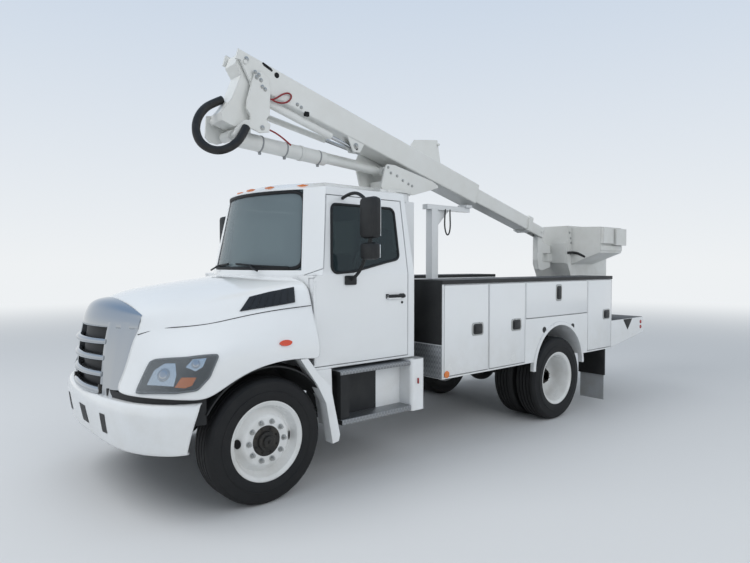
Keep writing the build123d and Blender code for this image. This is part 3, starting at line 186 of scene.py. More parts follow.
# %% Bright metal
def bright_metal(name, colour, rough):
    """A plated metal, whose gloss varies in soft clouds."""
    material, tree, shader, place = new_material(name)
    shader.inputs["Base Color"].default_value = linear(colour)
    shader.inputs["Metallic"].default_value = 1.0
    cloud = add_node(tree, "ShaderNodeTexNoise", {"Vector": place, "Scale": 12.0,
                                                  "Detail": 5.0}).outputs["Fac"]
    dull = add_node(tree, "ShaderNodeMapRange", {"Value": cloud, "From Min": 0.3, "From Max": 0.7,
                                                 "To Min": rough * 0.7, "To Max": rough * 1.4})
    tree.links.new(dull.outputs["Result"], shader.inputs["Roughness"])
    return material


chrome = bright_metal("chrome", "#B4B8BC", 0.05)
hard_chrome = bright_metal("hard_chrome", "#C8CACC", 0.14)
zinc_plate = bright_metal("zinc_plate", "#B4B5B3", 0.34)
print("materials so far:", len(bpy.data.materials))

# %% [markdown]
# Lenses and windows. The windows are green-grey laminated and toughened glass; the windscreen's pale
# blue-grey is painted sky reflection in its colour. The lamps have moulded acrylic lenses, amber, red or
# clear, with a ribbed inside that breaks up the light. The ribs are 6 mm apart.

# %% Glass and lenses
def window_glass(name, tint_and_painted_sky, through):
    """Thin window glass: part clear, part gloss, so that the seats show behind it; the gloss part's colour is
    the tint, and on the windscreen also painted sky reflection.
    """
    material, tree, shader, place = new_material(name)
    shader.inputs["Base Color"].default_value = linear(tint_and_painted_sky)
    shader.inputs["Roughness"].default_value = 0.03
    shader.inputs["IOR"].default_value = 1.5
    clear = add_node(tree, "ShaderNodeBsdfTransparent", {"Color": linear("#C9D2D0")})
    mixer = add_node(tree, "ShaderNodeMixShader", {"Fac": through, 1: shader.outputs[0], 2: clear.outputs[0]})
    tree.links.new(mixer.outputs[0], tree.nodes["Material Output"].inputs["Surface"])
    return material


RIB_MM = 6.0


def lens(name, colour):
    """A moulded acrylic lens with ribs across it."""
    material, tree, shader, place = new_material(name)
    ribs = add_node(tree, "ShaderNodeTexWave", {"Vector": place, "Scale": 1000 / RIB_MM / 6.283,
                                                "Distortion": 0.0}, bands_direction="Z").outputs["Fac"]
    bump = add_node(tree, "ShaderNodeBump", {"Height": ribs, "Strength": 0.3, "Distance": 0.002})
    tree.links.new(bump.outputs["Normal"], shader.inputs["Normal"])
    shader.inputs["Base Color"].default_value = linear(colour)
    shader.inputs["Roughness"].default_value = 0.15
    shader.inputs["Coat Weight"].default_value = 0.8
    return material


cab_window = window_glass("cab_window", "#3A464A", 0.5)
# The windscreen's pale blue-grey is painted sky reflection on top of the glass's tint.
screen_glass_and_painted_sky = window_glass("screen_glass_and_painted_sky", "#93A2A8", 0.52)
amber_lens = lens("amber_lens", "#D9741E")
red_lens = lens("red_lens", "#A3161A")
marker_lens = lens("marker_lens", "#D8481C")
clear_lens = lens("clear_lens", "#C9CDD0")
print("materials so far:", len(bpy.data.materials))

# %% [markdown]
# A few finishes belong to small fittings, and a near-black one is painted shade for holes and slots that
# are not cut. The headlamps have a satin grey housing, reflectors metallised with aluminium, and a clear
# hard-coated cover, which is almost all transparent with a thin bright gloss.

# %% Finishes for fittings
lamp_grey = dark_finish("lamp_grey", "#2A2D30", "#3A3D40", 2.0, 0.1, 0.1, 0.4)
lamp_rim = dark_finish("lamp_rim", "#6B6F72", "#777A7C", 2.0, 0.1, 0.1, 0.35)
lamp_bright = bright_metal("lamp_bright", "#EEF1F4", 0.12)
vent_plastic = dark_finish("vent_plastic", "#1C1D1F", "#3C3C3B", 2.0, 0.3, 0.2, 0.5)
# Near-black for painted shade in holes and slots that are not cut.
painted_opening_shade = dark_finish("painted_opening_shade", "#0B0B0C", "#151515", 4.0, 0.1, 0.1, 0.8)
# Black rubber; also a thin dark line of painted shade along the hood's crease.
seal_rubber_and_crease_shade = dark_finish("seal_rubber_and_crease_shade", "#101112", "#2A2A2A", 2.0, 0.1, 0.15, 0.6)
red_hose = dark_finish("red_hose", "#8E1F22", "#6B4A45", 2.0, 0.1, 0.2, 0.5)
paddle_black = dark_finish("paddle_black", "#18191A", "#3A3A38", 2.0, 0.2, 0.2, 0.45)


def clear_lens_cover(name):
    """A clear hard-coated cover: nearly all transparent, with a thin gloss on top."""
    material, tree, shader, place = new_material(name)
    shader.inputs["Base Color"].default_value = linear("#E8ECEE")
    shader.inputs["Roughness"].default_value = 0.05
    through = add_node(tree, "ShaderNodeBsdfTransparent", {"Color": linear("#F2F4F5")})
    edge = add_node(tree, "ShaderNodeLayerWeight", {"Blend": 0.35}).outputs["Facing"]
    amount = add_node(tree, "ShaderNodeMapRange", {"Value": edge, "To Min": 0.94, "To Max": 0.62})
    mixer = add_node(tree, "ShaderNodeMixShader", {"Fac": amount.outputs["Result"], 1: shader.outputs[0],
                                                   2: through.outputs[0]})
    tree.links.new(mixer.outputs[0], tree.nodes["Material Output"].inputs["Surface"])
    return material


TREAD_MM = 25.0


def tread_metal(name, colour, rough):
    """Rolled tread plate: bars stand up in a basket pattern, worn bright on top."""
    material, tree, shader, place = new_material(name)
    turned = add_node(tree, "ShaderNodeMapping", {"Vector": place, "Rotation": (0.0, 0.0, math.radians(45))})
    bars = add_node(tree, "ShaderNodeTexChecker", {"Vector": turned.outputs["Vector"],
                                                   "Scale": 1000 / TREAD_MM})
    bump = add_node(tree, "ShaderNodeBump", {"Height": bars.outputs["Fac"], "Strength": 0.3,
                                             "Distance": 0.001})
    tree.links.new(bump.outputs["Normal"], shader.inputs["Normal"])
    tone = add_node(tree, "ShaderNodeMix", {0: bars.outputs["Fac"], 6: linear(colour), 7: linear("#A6A8AA")},
                    data_type="RGBA")
    tree.links.new(tone.outputs[2], shader.inputs["Base Color"])
    shader.inputs["Metallic"].default_value = 0.9
    shader.inputs["Roughness"].default_value = rough
    return material


clear_cover = clear_lens_cover("clear_cover")
tread_plate = tread_metal("tread_plate", "#8E9092", 0.42)
print("materials so far:", len(bpy.data.materials))

# %% [markdown]
# Each solid of the frame takes the finish of the thing that it stands for. Pieces that come in a left and
# a right one are listed once.

# %% Give every solid its finish
FINISH = {
    "chassis_frame": chassis_black, "front_axle": chassis_black, "rear_axle": chassis_black,
    "driveline": cast_iron, "bumper": cab_white, "cab_shell": cab_white, "cab_glass": screen_glass_and_painted_sky,
    "cab_interior": cab_trim, "cab_steps": grained_black_and_slot_shade, "step_boxes": cab_white, "hitch": chassis_black,
    "lamps": amber_lens, "top_rails": coated_rail, "body_deck": white_enamel, "mud_flaps": flap_rubber,
    "pedestal": white_enamel, "boom_rest": white_enamel, "hood": cab_white, "fenders": cab_white,
    "grille": chrome, "headlamps": clear_lens, "turret": boom_white, "lower_arm": gelcoat,
    "level_link": boom_white, "elbow": boom_white, "hose_loop": hose_rubber,
          "arm_cylinder_barrel": boom_white,
    "arm_cylinder_rod": hard_chrome, "boom_cylinder_barrel": boom_white, "boom_cylinder_rod": hard_chrome,
    "boom_outer": boom_white, "boom_inner": boom_white, "leveller": boom_white, "platform": gelcoat,
}
SIDED = {
    "body": white_enamel,
    "cab_door": cab_white, "door_glass": cab_window, "mirror": grained_black_and_slot_shade, "knuckle": chassis_black,
    "front_tyre": tyre_rubber, "front_rim": wheel_enamel, "rear_tyres": tyre_rubber,
         "rear_rims": wheel_enamel,
    "door_1": white_enamel, "door_2": white_enamel, "door_3": white_enamel, "door_4": white_enamel,
}
for name, material in SIDED.items():
    FINISH[name + "_left"] = material
    FINISH[name + "_right"] = material
for name, material in FINISH.items():
    for slot in nodes[name].material_slots:
        slot.material = material
print("nodes without a finish:", sorted(set(nodes) - set(FINISH)))

# %% [markdown]
# The solids are plain plates and boxes; what the eye takes for a truck is in the rounded edges, the swept
# panels and the fittings. Each new piece starts from one of bmesh's own shapes and is pushed into place,
# with sizes in metres and Y measured from the front axle, as a workshop drawing would give them. A few
# short helpers do the repeated work: add a shape, copy it to the other side, and finish the piece.

# %% Shaping helpers
MIDDLE = 2.775
SHIFT = Vector((0, MIDDLE, 0))
SIDES = (("left", 1), ("right", -1))
AXLE_HEIGHT = 0.485
REAR_AXLE_Y = 3.86


def grown(mesh, before):
    """The vertices that were added to a mesh since a count was taken."""
    mesh.verts.ensure_lookup_table()
    return mesh.verts[before:]


def moved_verts(made):
    """The vertices in what an operator returned."""
    return [g for g in made["geom"] if isinstance(g, bmesh.types.BMVert)]


def round_edges(part, edges, radius):
    """Round some edges with two facets."""
    bmesh.ops.bevel(part, geom=edges, offset=radius, segments=2, affect="EDGES", profile=0.5, material=-1)


def block(mesh, low, high, radius=0.004):
    """Add a box between two corners, with rounded edges."""
    part = bmesh.new()
    bmesh.ops.create_cube(part, size=1.0)
    bmesh.ops.scale(part, verts=part.verts, vec=[h - l for l, h in zip(low, high)])
    round_edges(part, part.edges[:], radius)
    bmesh.ops.translate(part, verts=part.verts, vec=[(l + h) / 2 for l, h in zip(low, high)])
    pour(part, mesh)


def pour(part, mesh):
    """Add one bmesh to another, and free it."""
    data = bpy.data.meshes.new("pour")
    part.to_mesh(data)
    part.free()
    mesh.from_mesh(data)
    bpy.data.meshes.remove(data)


def rod(mesh, start, end, radius, tip=None, segments=24, bevel=0.0):
    """Add a round bar between two points; tip is the far radius of a taper."""
    start, end = Vector(start), Vector(end)
    turn = (end - start).to_track_quat("Z", "Y").to_matrix().to_4x4()
    part = bmesh.new()
    bmesh.ops.create_cone(part, cap_ends=True, segments=segments, radius1=radius,
                          radius2=radius if tip is None else tip, depth=(end - start).length)
    if bevel:
        rims = [e for e in part.edges
                if len(e.link_faces) == 2 and max(len(f.verts) for f in e.link_faces) > 4]
        round_edges(part, rims, bevel)
    bmesh.ops.transform(part, matrix=Matrix.Translation((start + end) / 2) @ turn, verts=part.verts)
    pour(part, mesh)


def plate(mesh, outline, side, radius=0.003):
    """Add a flat plate with a (y, z) outline, between two values of x."""
    part = bmesh.new()
    face = part.faces.new([part.verts.new((side[0], y, z)) for y, z in outline])
    made = bmesh.ops.extrude_face_region(part, geom=[face])
    bmesh.ops.translate(part, verts=moved_verts(made), vec=(side[1] - side[0], 0, 0))
    if radius:
        round_edges(part, part.edges[:], radius)
    pour(part, mesh)


def lathe(mesh, profile, centre, steps=72, angle=math.tau, start=0.0):
    """Turn a profile of (x, radius) points about the wheel's axis."""
    part = bmesh.new()
    verts = [part.verts.new((x, r * math.sin(start), r * math.cos(start))) for x, r in profile]
    edges = [part.edges.new(pair) for pair in zip(verts, verts[1:])]
    bmesh.ops.spin(part, geom=verts + edges, cent=(0, 0, 0), axis=(1, 0, 0), angle=angle, steps=steps,
                   use_merge=angle > 6.28)
    bmesh.ops.translate(part, verts=part.verts, vec=centre)
    pour(part, mesh)


def sweep(mesh, section, path):
    """Push a (y, z) section along a path of points, each step moved without turning."""
    part = bmesh.new()
    path = [Vector(p) for p in path]
    face = part.faces.new([part.verts.new(path[0] + Vector((0, y, z))) for y, z in section])
    for here, there in zip(path, path[1:]):
        made = bmesh.ops.extrude_face_region(part, geom=[face])
        if face.is_valid and here is not path[0]:
            bmesh.ops.delete(part, geom=[face], context="FACES_ONLY")
        face = [g for g in made["geom"] if isinstance(g, bmesh.types.BMFace)][0]
        bmesh.ops.translate(part, verts=moved_verts(made), vec=there - here)
    pour(part, mesh)


def lattice(mesh, rows):
    """Lay a grid of quads through rows of points, all of one length."""
    before = len(mesh.verts)
    bmesh.ops.create_grid(mesh, x_segments=len(rows[0]) - 1, y_segments=len(rows) - 1, size=1.0)
    for vert, place in zip(grown(mesh, before), [p for row in rows for p in row]):
        vert.co = place


def both_sides(mesh):
    """Copy what is in a mesh to the other side of the truck."""
    made = bmesh.ops.duplicate(mesh, geom=mesh.verts[:] + mesh.edges[:] + mesh.faces[:])
    faces = [g for g in made["geom"] if isinstance(g, bmesh.types.BMFace)]
    bmesh.ops.scale(mesh, verts=moved_verts(made), vec=(-1, 1, 1))
    bmesh.ops.reverse_faces(mesh, faces=faces)


def to_side(mesh, sign):
    """Put a mesh that was made on the driver's side on the side that a sign stands for."""
    bmesh.ops.scale(mesh, verts=mesh.verts, vec=(sign, 1, 1))


def enter(name, data, material, body, replaces):
    """Put a piece in the scene, on its body and the solids that it replaces."""
    data.materials.append(material)
    piece = bpy.data.objects.new(name, data)
    bpy.context.scene.collection.objects.link(piece)
    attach(piece, body)
    if replaces:
        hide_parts(*replaces)
    print("made", name, "on", body)
    return piece


def finish_piece(name, mesh, material, body, replaces=(), crease=35, recalc=True):
    """Make a mesh a finished piece: doubles merged, faces outwards, shaded smooth up to a crease angle."""
    bmesh.ops.remove_doubles(mesh, verts=mesh.verts, dist=0.0001)
    if recalc:
        bmesh.ops.recalc_face_normals(mesh, faces=mesh.faces)
    bmesh.ops.translate(mesh, verts=mesh.verts, vec=(0, -MIDDLE, 0))
    data = bpy.data.meshes.new(name)
    mesh.to_mesh(data)
    mesh.free()
    data.shade_smooth()
    data.set_sharp_from_angle(angle=math.radians(crease))
    return enter(name, data, material, body, replaces)


def soften(piece, levels):
    """Round a cage off with Subdivision Surface."""
    smooth = piece.modifiers.new("smooth", "SUBSURF")
    smooth.levels = levels
    smooth.render_levels = levels


def give_wall(piece, thickness):
    """Give a finished skin its wall, on the inside."""
    wall = piece.modifiers.new("wall", "SOLIDIFY")
    wall.thickness = thickness
    wall.offset = -1.0


def pipe(name, points, radius, material, body, replaces=(), closed=False):
    """A bent bar or seal: a smooth curve with a round section, through points in metres from the axle."""
    data = bpy.data.curves.new(name, "CURVE")
    data.dimensions = "3D"
    data.bevel_depth = radius
    data.bevel_resolution = 3
    data.use_fill_caps = not closed
    spline = data.splines.new("NURBS")
    spline.points.add(len(points) - 1)
    for point, place in zip(spline.points, points):
        point.co = (place[0], place[1] - MIDDLE, place[2], 1.0)
    spline.order_u = 3
    spline.use_endpoint_u = not closed
    spline.use_cyclic_u = closed
    spline.resolution_u = 6
    return enter(name, data, material, body, replaces)


def surface_of(piece):
    """A search tree over the finished surface of a piece, for laying trim on it."""
    bpy.context.view_layer.update()
    shape = bmesh.new()
    shape.from_object(piece, bpy.context.evaluated_depsgraph_get())
    tree = BVHTree.FromBMesh(shape)
    shape.free()
    return tree


def nearest(tree, point):
    """The nearest place on a surface, and the surface's normal there."""
    found, normal, index, distance = tree.find_nearest(Vector(point) - SHIFT)
    return found + SHIFT, normal


def from_front(tree, x, z):
    """How far back a surface lies, seen from the front."""
    found, normal, index, distance = tree.ray_cast(Vector((x, -6.0, z)), Vector((0, 1, 0)))
    return found.y + MIDDLE


def line_on(tree, points, lift, sign):
    """A thin line that follows a surface, through points near it, on the side that a sign stands for."""
    laid = [place + normal * lift for place, normal in (nearest(tree, point) for point in points)]
    return [(sign * place.x, place.y, place.z) for place in laid]


def lay_on(mesh, tree, outline, lift, thickness, cuts=5):
    """Lay a patch with a given outline on a surface, lifted off it, and give it a thickness."""
    part = bmesh.new()
    part.faces.new([part.verts.new(p) for p in outline])
    bmesh.ops.triangulate(part, faces=part.faces[:])
    bmesh.ops.subdivide_edges(part, edges=part.edges[:], cuts=cuts, use_grid_fill=True)
    for vert in part.verts:
        place, normal = nearest(tree, vert.co)
        vert.co = place + normal * lift
    made = bmesh.ops.extrude_face_region(part, geom=part.faces[:])
    for vert in moved_verts(made):
        vert.co += nearest(tree, vert.co)[1] * thickness
    pour(part, mesh)


print("helpers ready, middle of the truck", MIDDLE, "m behind the front axle")

# %% [markdown]
# The hood and fenders are one moulding of painted composite that tilts forward. It is the shape that
# gives the truck its face, and its surfaces flow into each other with no straight line, so loose boxes
# would never look right. A cage of ten rows by ten columns is laid over one half, from the wheel arch
# over the crease and the shoulder to the middle, mirrored, and rounded off with Subdivision Surface.

# %% Hood and fenders
CAGE = [
    [(1.15, 0.452, 1.075), (1.15, 0.30, 1.095), (1.15, 0.10, 1.10), (1.15, -0.15, 1.06), (1.15, -0.35, 0.97),
     (1.15, -0.50, 0.885), (1.10, -0.63, 0.895), (1.03, -0.74, 0.905), (0.82, -0.895, 0.91),
     (0.585, -0.95, 0.91)],
    [(1.155, 0.452, 1.13), (1.155, 0.30, 1.14), (1.155, 0.10, 1.145), (1.155, -0.15, 1.12),
     (1.155, -0.35, 1.06), (1.155, -0.475, 1.02), (1.10, -0.60, 1.01), (1.03, -0.70, 1.0),
     (0.82, -0.86, 0.99), (0.585, -0.915, 0.99)],
    [(1.15, 0.452, 1.20), (1.15, 0.30, 1.20), (1.15, 0.10, 1.20), (1.15, -0.15, 1.19), (1.145, -0.34, 1.18),
     (1.14, -0.44, 1.17), (1.08, -0.54, 1.16), (1.0, -0.63, 1.14), (0.81, -0.80, 1.13),
     (0.585, -0.865, 1.12)],
    [(1.125, 0.452, 1.28), (1.12, 0.30, 1.275), (1.115, 0.10, 1.27), (1.11, -0.15, 1.26), (1.10, -0.33, 1.25),
     (1.06, -0.42, 1.245), (1.0, -0.50, 1.24), (0.93, -0.585, 1.235), (0.78, -0.745, 1.24),
     (0.585, -0.83, 1.25)],
    [(1.07, 0.452, 1.40), (1.05, 0.30, 1.39), (1.03, 0.10, 1.38), (1.01, -0.15, 1.36), (0.97, -0.33, 1.34),
     (0.93, -0.42, 1.33), (0.88, -0.50, 1.325), (0.82, -0.58, 1.32), (0.74, -0.70, 1.32),
     (0.585, -0.79, 1.33)],
    [(1.035, 0.452, 1.475), (0.985, 0.30, 1.48), (0.955, 0.10, 1.465), (0.915, -0.15, 1.432),
     (0.865, -0.35, 1.41), (0.83, -0.43, 1.40), (0.79, -0.52, 1.39), (0.755, -0.60, 1.375),
     (0.715, -0.69, 1.36), (0.585, -0.775, 1.36)],
    [(1.0, 0.452, 1.60), (0.94, 0.30, 1.585), (0.87, 0.10, 1.555), (0.82, -0.15, 1.52), (0.775, -0.35, 1.49),
     (0.755, -0.43, 1.48), (0.73, -0.52, 1.465), (0.70, -0.60, 1.45), (0.655, -0.69, 1.43),
     (0.58, -0.76, 1.415)],
    [(0.935, 0.452, 1.705), (0.865, 0.30, 1.68), (0.775, 0.10, 1.64), (0.705, -0.15, 1.595),
     (0.665, -0.35, 1.56), (0.65, -0.43, 1.545), (0.635, -0.52, 1.53), (0.62, -0.60, 1.515),
     (0.60, -0.685, 1.495), (0.568, -0.748, 1.462)],
    [(0.50, 0.452, 1.75), (0.46, 0.30, 1.732), (0.42, 0.10, 1.705), (0.39, -0.15, 1.675),
     (0.37, -0.35, 1.648), (0.36, -0.43, 1.637), (0.35, -0.52, 1.622), (0.34, -0.60, 1.606),
     (0.33, -0.69, 1.582), (0.32, -0.782, 1.540)],
    [(0.0, 0.452, 1.765), (0.0, 0.30, 1.748), (0.0, 0.10, 1.725), (0.0, -0.15, 1.698), (0.0, -0.35, 1.673),
     (0.0, -0.43, 1.662), (0.0, -0.52, 1.649), (0.0, -0.60, 1.634), (0.0, -0.69, 1.611), (0.0, -0.80, 1.572)],
]
moulding = bmesh.new()
lattice(moulding, CAGE)
both_sides(moulding)
bmesh.ops.remove_doubles(moulding, verts=moulding.verts, dist=0.001)
hood_cage = finish_piece("hood_moulding", moulding, cab_white, "hood", ("hood", "fenders"))
soften(hood_cage, 3)
hood_surface = surface_of(hood_cage)
give_wall(hood_cage, 0.02)
print("hood moulding:", len(hood_cage.data.polygons), "faces in its cage")

# %% [markdown]
# Behind the moulding a black plastic liner wraps each front wheel. From outside it is only a dark gap over
# the tyre, but without it daylight would show through the arch. It stays clear of the steered tyre.

# %% Wheel liners
liner = bmesh.new()
lathe(liner, [(0.62, 0.565), (1.12, 0.565), (1.12, 0.577), (0.62, 0.577)], (0, 0, AXLE_HEIGHT), 24,
      math.radians(120), math.radians(60))
plate(liner, [(-0.55, 0.62), (-0.55, 1.0), (0.0, 1.06), (0.45, 1.0), (0.45, 0.62)], (0.52, 0.54), 0.0)
both_sides(liner)
finish_piece("wheel_liners", liner, grained_black_and_slot_shade, "hood")

# %% [markdown]
# The grille is chromed plastic: a broad frame with four dark slots, and rounded bars between them that
# bow out with the nose. Chrome shows only what it reflects, so the bars need a true round section to
# catch the light in thin lines. Each one is a small section pushed along the bowed path.

# %% Grille
def nose_y(x, z):
    """How far forward the grille's face is, at a place seen from the front."""
    middle = -1.02 + 0.55 * max(0.0, z - 1.15) ** 2
    edge = -0.90 + 0.27 * (z - 0.86)
    return middle + (edge - middle) * (abs(x) / 0.57) ** 2


def bowed(z, half, steps=14):
    """A path across the grille at one height."""
    across = [half * (2 * i / steps - 1) for i in range(steps + 1)]
    return [(x, nose_y(x, z), z) for x in across]


def round_section(deep, tall, points=12):
    """An oval section in y and z."""
    return [(deep / 2 * math.cos(math.tau * i / points), tall / 2 * math.sin(math.tau * i / points))
            for i in range(points)]


grille = bmesh.new()
for z, tall in ((0.885, 0.060), (1.010, 0.050), (1.130, 0.050), (1.250, 0.050)):
    sweep(grille, round_section(0.055, tall), bowed(z, 0.352))
RIBS = [(0.328, 0.045), (0.333, -0.006), (0.345, -0.016), (0.395, -0.016), (0.406, 0.006), (0.440, 0.006),
        (0.451, -0.014), (0.498, -0.014), (0.509, 0.004), (0.535, 0.004), (0.545, -0.010), (0.562, -0.008),
        (0.570, 0.035)]
for side in (1, -1):
    lattice(grille, [[(side * x, nose_y(x, z) + dy, z) for x, dy in RIBS]
                     for z in (0.86, 0.94, 1.02, 1.10, 1.18, 1.26, 1.34, 1.40)])
finish_piece("grille_bars", grille, chrome, "hood", ("grille",), 50)

cap = bmesh.new()
BROW_ROWS = [(-0.805, 0.060, 1.570, -0.115), (-0.872, 0.122, 1.560, -0.108), (-0.930, 0.178, 1.528, -0.080),
             (-0.958, 0.203, 1.480, -0.050), (-0.985, 0.215, 1.420, -0.025), (-0.995, 0.215, 1.365, -0.008),
             (-0.990, 0.215, 1.352, -0.004), (-0.950, 0.200, 1.350, 0.0)]
lattice(cap, [[(0.57 * k / 6, y + dy * (k / 6) ** 2, z + dz * (k / 6) ** 2) for k in range(-6, 7)]
              for y, dy, z, dz in BROW_ROWS])
grille_cap = finish_piece("grille_cap", cap, chrome, "hood")
soften(grille_cap, 2)

mesh_panel = bmesh.new()
lattice(mesh_panel, [[(x, y + 0.045, z) for x, y, z in bowed(0.87 + 0.055 * k, 0.55)]
                     for k in range(10)])
finish_piece("grille_mesh", mesh_panel, grained_black_and_slot_shade, "hood", recalc=False)

# %% [markdown]
# Each headlamp is a clear cover over a grey housing, with two bright reflectors and an amber turn lamp in
# it. The four parts are patches laid on the moulding's own surface, one above the other, so that they
# follow its curve round the corner of the fender exactly.

# %% Headlamps
HOUSING = [(0.82, -0.902, 0.942), (0.833, -0.809, 1.156), (0.861, -0.775, 1.174), (1.027, -0.611, 1.196),
           (1.144, -0.427, 1.21), (1.156, -0.422, 1.192), (1.153, -0.485, 1.049), (1.125, -0.565, 0.961),
           (1.062, -0.691, 0.948)]
REFLECTOR = [(0.878, -0.832, 0.996), (0.886, -0.784, 1.097), (0.929, -0.725, 1.146), (0.987, -0.672, 1.148),
             (1.025, -0.675, 1.066), (1.039, -0.70, 0.991)]
HIGH_BEAM = [(1.05, -0.621, 1.119), (1.061, -0.574, 1.178), (1.116, -0.494, 1.182), (1.116, -0.521, 1.116),
             (1.096, -0.564, 1.088)]
TURN_LAMP = [(1.046, -0.697, 0.985), (1.055, -0.65, 1.049), (1.107, -0.563, 1.045), (1.103, -0.594, 0.993),
             (1.083, -0.637, 0.977)]
LAMP_PARTS = [("headlamp_housing", HOUSING, 0.002, 0.006, lamp_grey, "chrome", ("headlamps",)),
              ("headlamp_reflector", REFLECTOR, 0.008, 0.003, lamp_bright, "chrome", ()),
              ("headlamp_high_beam", HIGH_BEAM, 0.008, 0.003, lamp_bright, "chrome", ()),
              ("headlamp_turn", TURN_LAMP, 0.008, 0.004, amber_lens, "amber_lens", ()),
              ("headlamp_cover", HOUSING, 0.014, 0.003, clear_cover, "glass", ())]
for name, outline, lift, thickness, material, slot, hidden in LAMP_PARTS:
    patch = bmesh.new()
    lay_on(patch, hood_surface, outline, lift, thickness)
    both_sides(patch)
    finish_piece(name, patch, material, "hood", hidden)

bowls = bmesh.new()
for centre, radius in (((0.955, -0.742, 1.068), 0.048), ((1.088, -0.562, 1.140), 0.032)):
    place, normal = nearest(hood_surface, centre)
    seat = place + normal * 0.010
    rod(bowls, seat, seat + normal * 0.006, radius, radius * 0.9, 40, 0.002)
    rod(bowls, seat + normal * 0.005, seat + normal * 0.010, radius * 0.72, radius * 0.45, 40, 0.002)
both_sides(bowls)
finish_piece("headlamp_bowls", bowls, chrome, "hood")

# %% [markdown]
# A thin rim closes each headlamp, and a thin dark line of painted shade runs back along the crease on
# the shoulder of the hood to the cab.

# %% Lamp rims and painted shade along the hood's crease
# The thin dark line along the hood's crease is painted shade; the moulding has no gap there.
CREASE_SHADE = [(0.60, -0.79, 1.315), (0.66, -0.72, 1.335), (0.74, -0.62, 1.36), (0.84, -0.50, 1.388),
        (0.91, -0.36, 1.415), (0.935, -0.20, 1.44), (0.95, 0.0, 1.458), (0.975, 0.20, 1.476),
        (1.01, 0.35, 1.49), (1.035, 0.445, 1.498)]
rim = [Vector(a).lerp(Vector(b), t) for a, b in zip(HOUSING, HOUSING[1:] + HOUSING[:1])
       for t in (0.08, 0.36, 0.64, 0.92)]
for side, sign in SIDES:
    pipe("headlamp_rim_" + side, line_on(hood_surface, rim, 0.008, sign), 0.0075, lamp_rim,
         "hood", closed=True)
    # A dark line of painted shade along the crease.
    pipe("hood_seam_" + side, line_on(hood_surface, CREASE_SHADE, 0.0015, sign), 0.0034, seal_rubber_and_crease_shade,
         "hood")

# %% [markdown]
# Air leaves the engine bay through a black moulded vent with upright slats in each flank of the hood. An
# oval amber marker stands out of the fender below it.

# %% Hood vents and side markers
VENT = [(0.872, -0.112, 1.452), (0.803, 0.011, 1.555), (0.844, 0.165, 1.601), (0.916, 0.356, 1.645),
        (0.972, 0.328, 1.521), (0.913, 0.092, 1.479)]
vent = bmesh.new()
lay_on(vent, hood_surface, VENT, 0.002, 0.006, 6)
both_sides(vent)
finish_piece("hood_vents", vent, vent_plastic, "hood")
for side, sign in SIDES:
    for k in range(1, 7):
        low = Vector(VENT[0]).lerp(Vector(VENT[4]), k / 7)
        high = Vector(VENT[1]).lerp(Vector(VENT[3]), k / 7)
        slat = [low.lerp(high, u) for u in (0.12, 0.5, 0.88)]
        pipe(f"vent_slat_{k}_{side}", line_on(hood_surface, slat, 0.009, sign), 0.0045, vent_plastic, "hood")
marker = bmesh.new()
turns = [math.tau * k / 16 for k in range(16)]
oval = [(1.15, 0.137 + 0.055 * math.cos(t), 1.232 + 0.026 * math.sin(t)) for t in turns]
lay_on(marker, hood_surface, oval, 0.002, 0.012, 1)
both_sides(marker)
finish_piece("side_markers", marker, marker_lens, "hood")

# %% [markdown]
# The front bumper is pressed steel, painted white with the cab. It wraps round both corners, its top edge
# rolls back to a lip, and its face leans in towards the foot. The cage follows the foot and the top line.

# %% Bumper
FOOT = [(0.0, -0.98), (0.20, -0.98), (0.40, -0.976), (0.60, -0.957), (0.77, -0.92), (0.93, -0.84),
        (1.03, -0.755), (1.075, -0.69), (1.09, -0.63)]
BROW = [(0.0, -1.050), (0.20, -1.045), (0.40, -1.030), (0.60, -1.000), (0.80, -0.950), (0.95, -0.865),
        (1.055, -0.76), (1.10, -0.66), (1.135, -0.56)]
rows = []
for z, part, inset in ((0.515, 0.0, 0.05), (0.50, 0.0, 0.0), (0.54, 0.1, -0.004), (0.66, 0.45, -0.008),
                       (0.76, 0.8, -0.004), (0.80, 0.95, 0.0), (0.845, 1.0, 0.016), (0.862, 1.0, 0.03),
                       (0.86, 1.0, 0.075)):
    line = [Vector((f[0] + (b[0] - f[0]) * part, f[1] + (b[1] - f[1]) * part, z)) for f, b in zip(FOOT, BROW)]
    rows.append([(p.x - inset * (p.x / 1.13) ** 3, p.y + inset, p.z) for p in line])
bumper = bmesh.new()
lattice(bumper, rows)
both_sides(bumper)
bmesh.ops.remove_doubles(bumper, verts=bumper.verts, dist=0.001)
bumper_skin = finish_piece("bumper_skin", bumper, cab_white, "truck", ("bumper",))
soften(bumper_skin, 2)
bumper_surface = surface_of(bumper_skin)
give_wall(bumper_skin, 0.006)

# %% [markdown]
# Dark slots for the tow hooks open in the bumper's face; they are not cut, and black patches laid on it
# are painted shade in them. A black valance closes the gap behind its lip.

# %% Painted shade of the tow slots, and the valance
slot_shade_and_valance = bmesh.new()
# Black patches laid on the bumper's face: painted shade of the tow slots.
for x, half in ((-0.47, 0.042), (0.03, 0.075), (0.47, 0.042)):
    outline = [(x - half, -1.0, 0.60), (x + half, -1.0, 0.60), (x + half, -1.0, 0.745),
               (x - half, -1.0, 0.745)]
    lay_on(slot_shade_and_valance, bumper_surface, outline, 0.001, 0.002)
for sign in (1, -1):
    lattice(slot_shade_and_valance, [[(sign * x * 0.97, y + 0.07, z) for x, y in BROW] for z in (0.70, 0.78, 0.86, 0.91)])
finish_piece("valance_and_slot_shade", slot_shade_and_valance, grained_black_and_slot_shade, "truck")

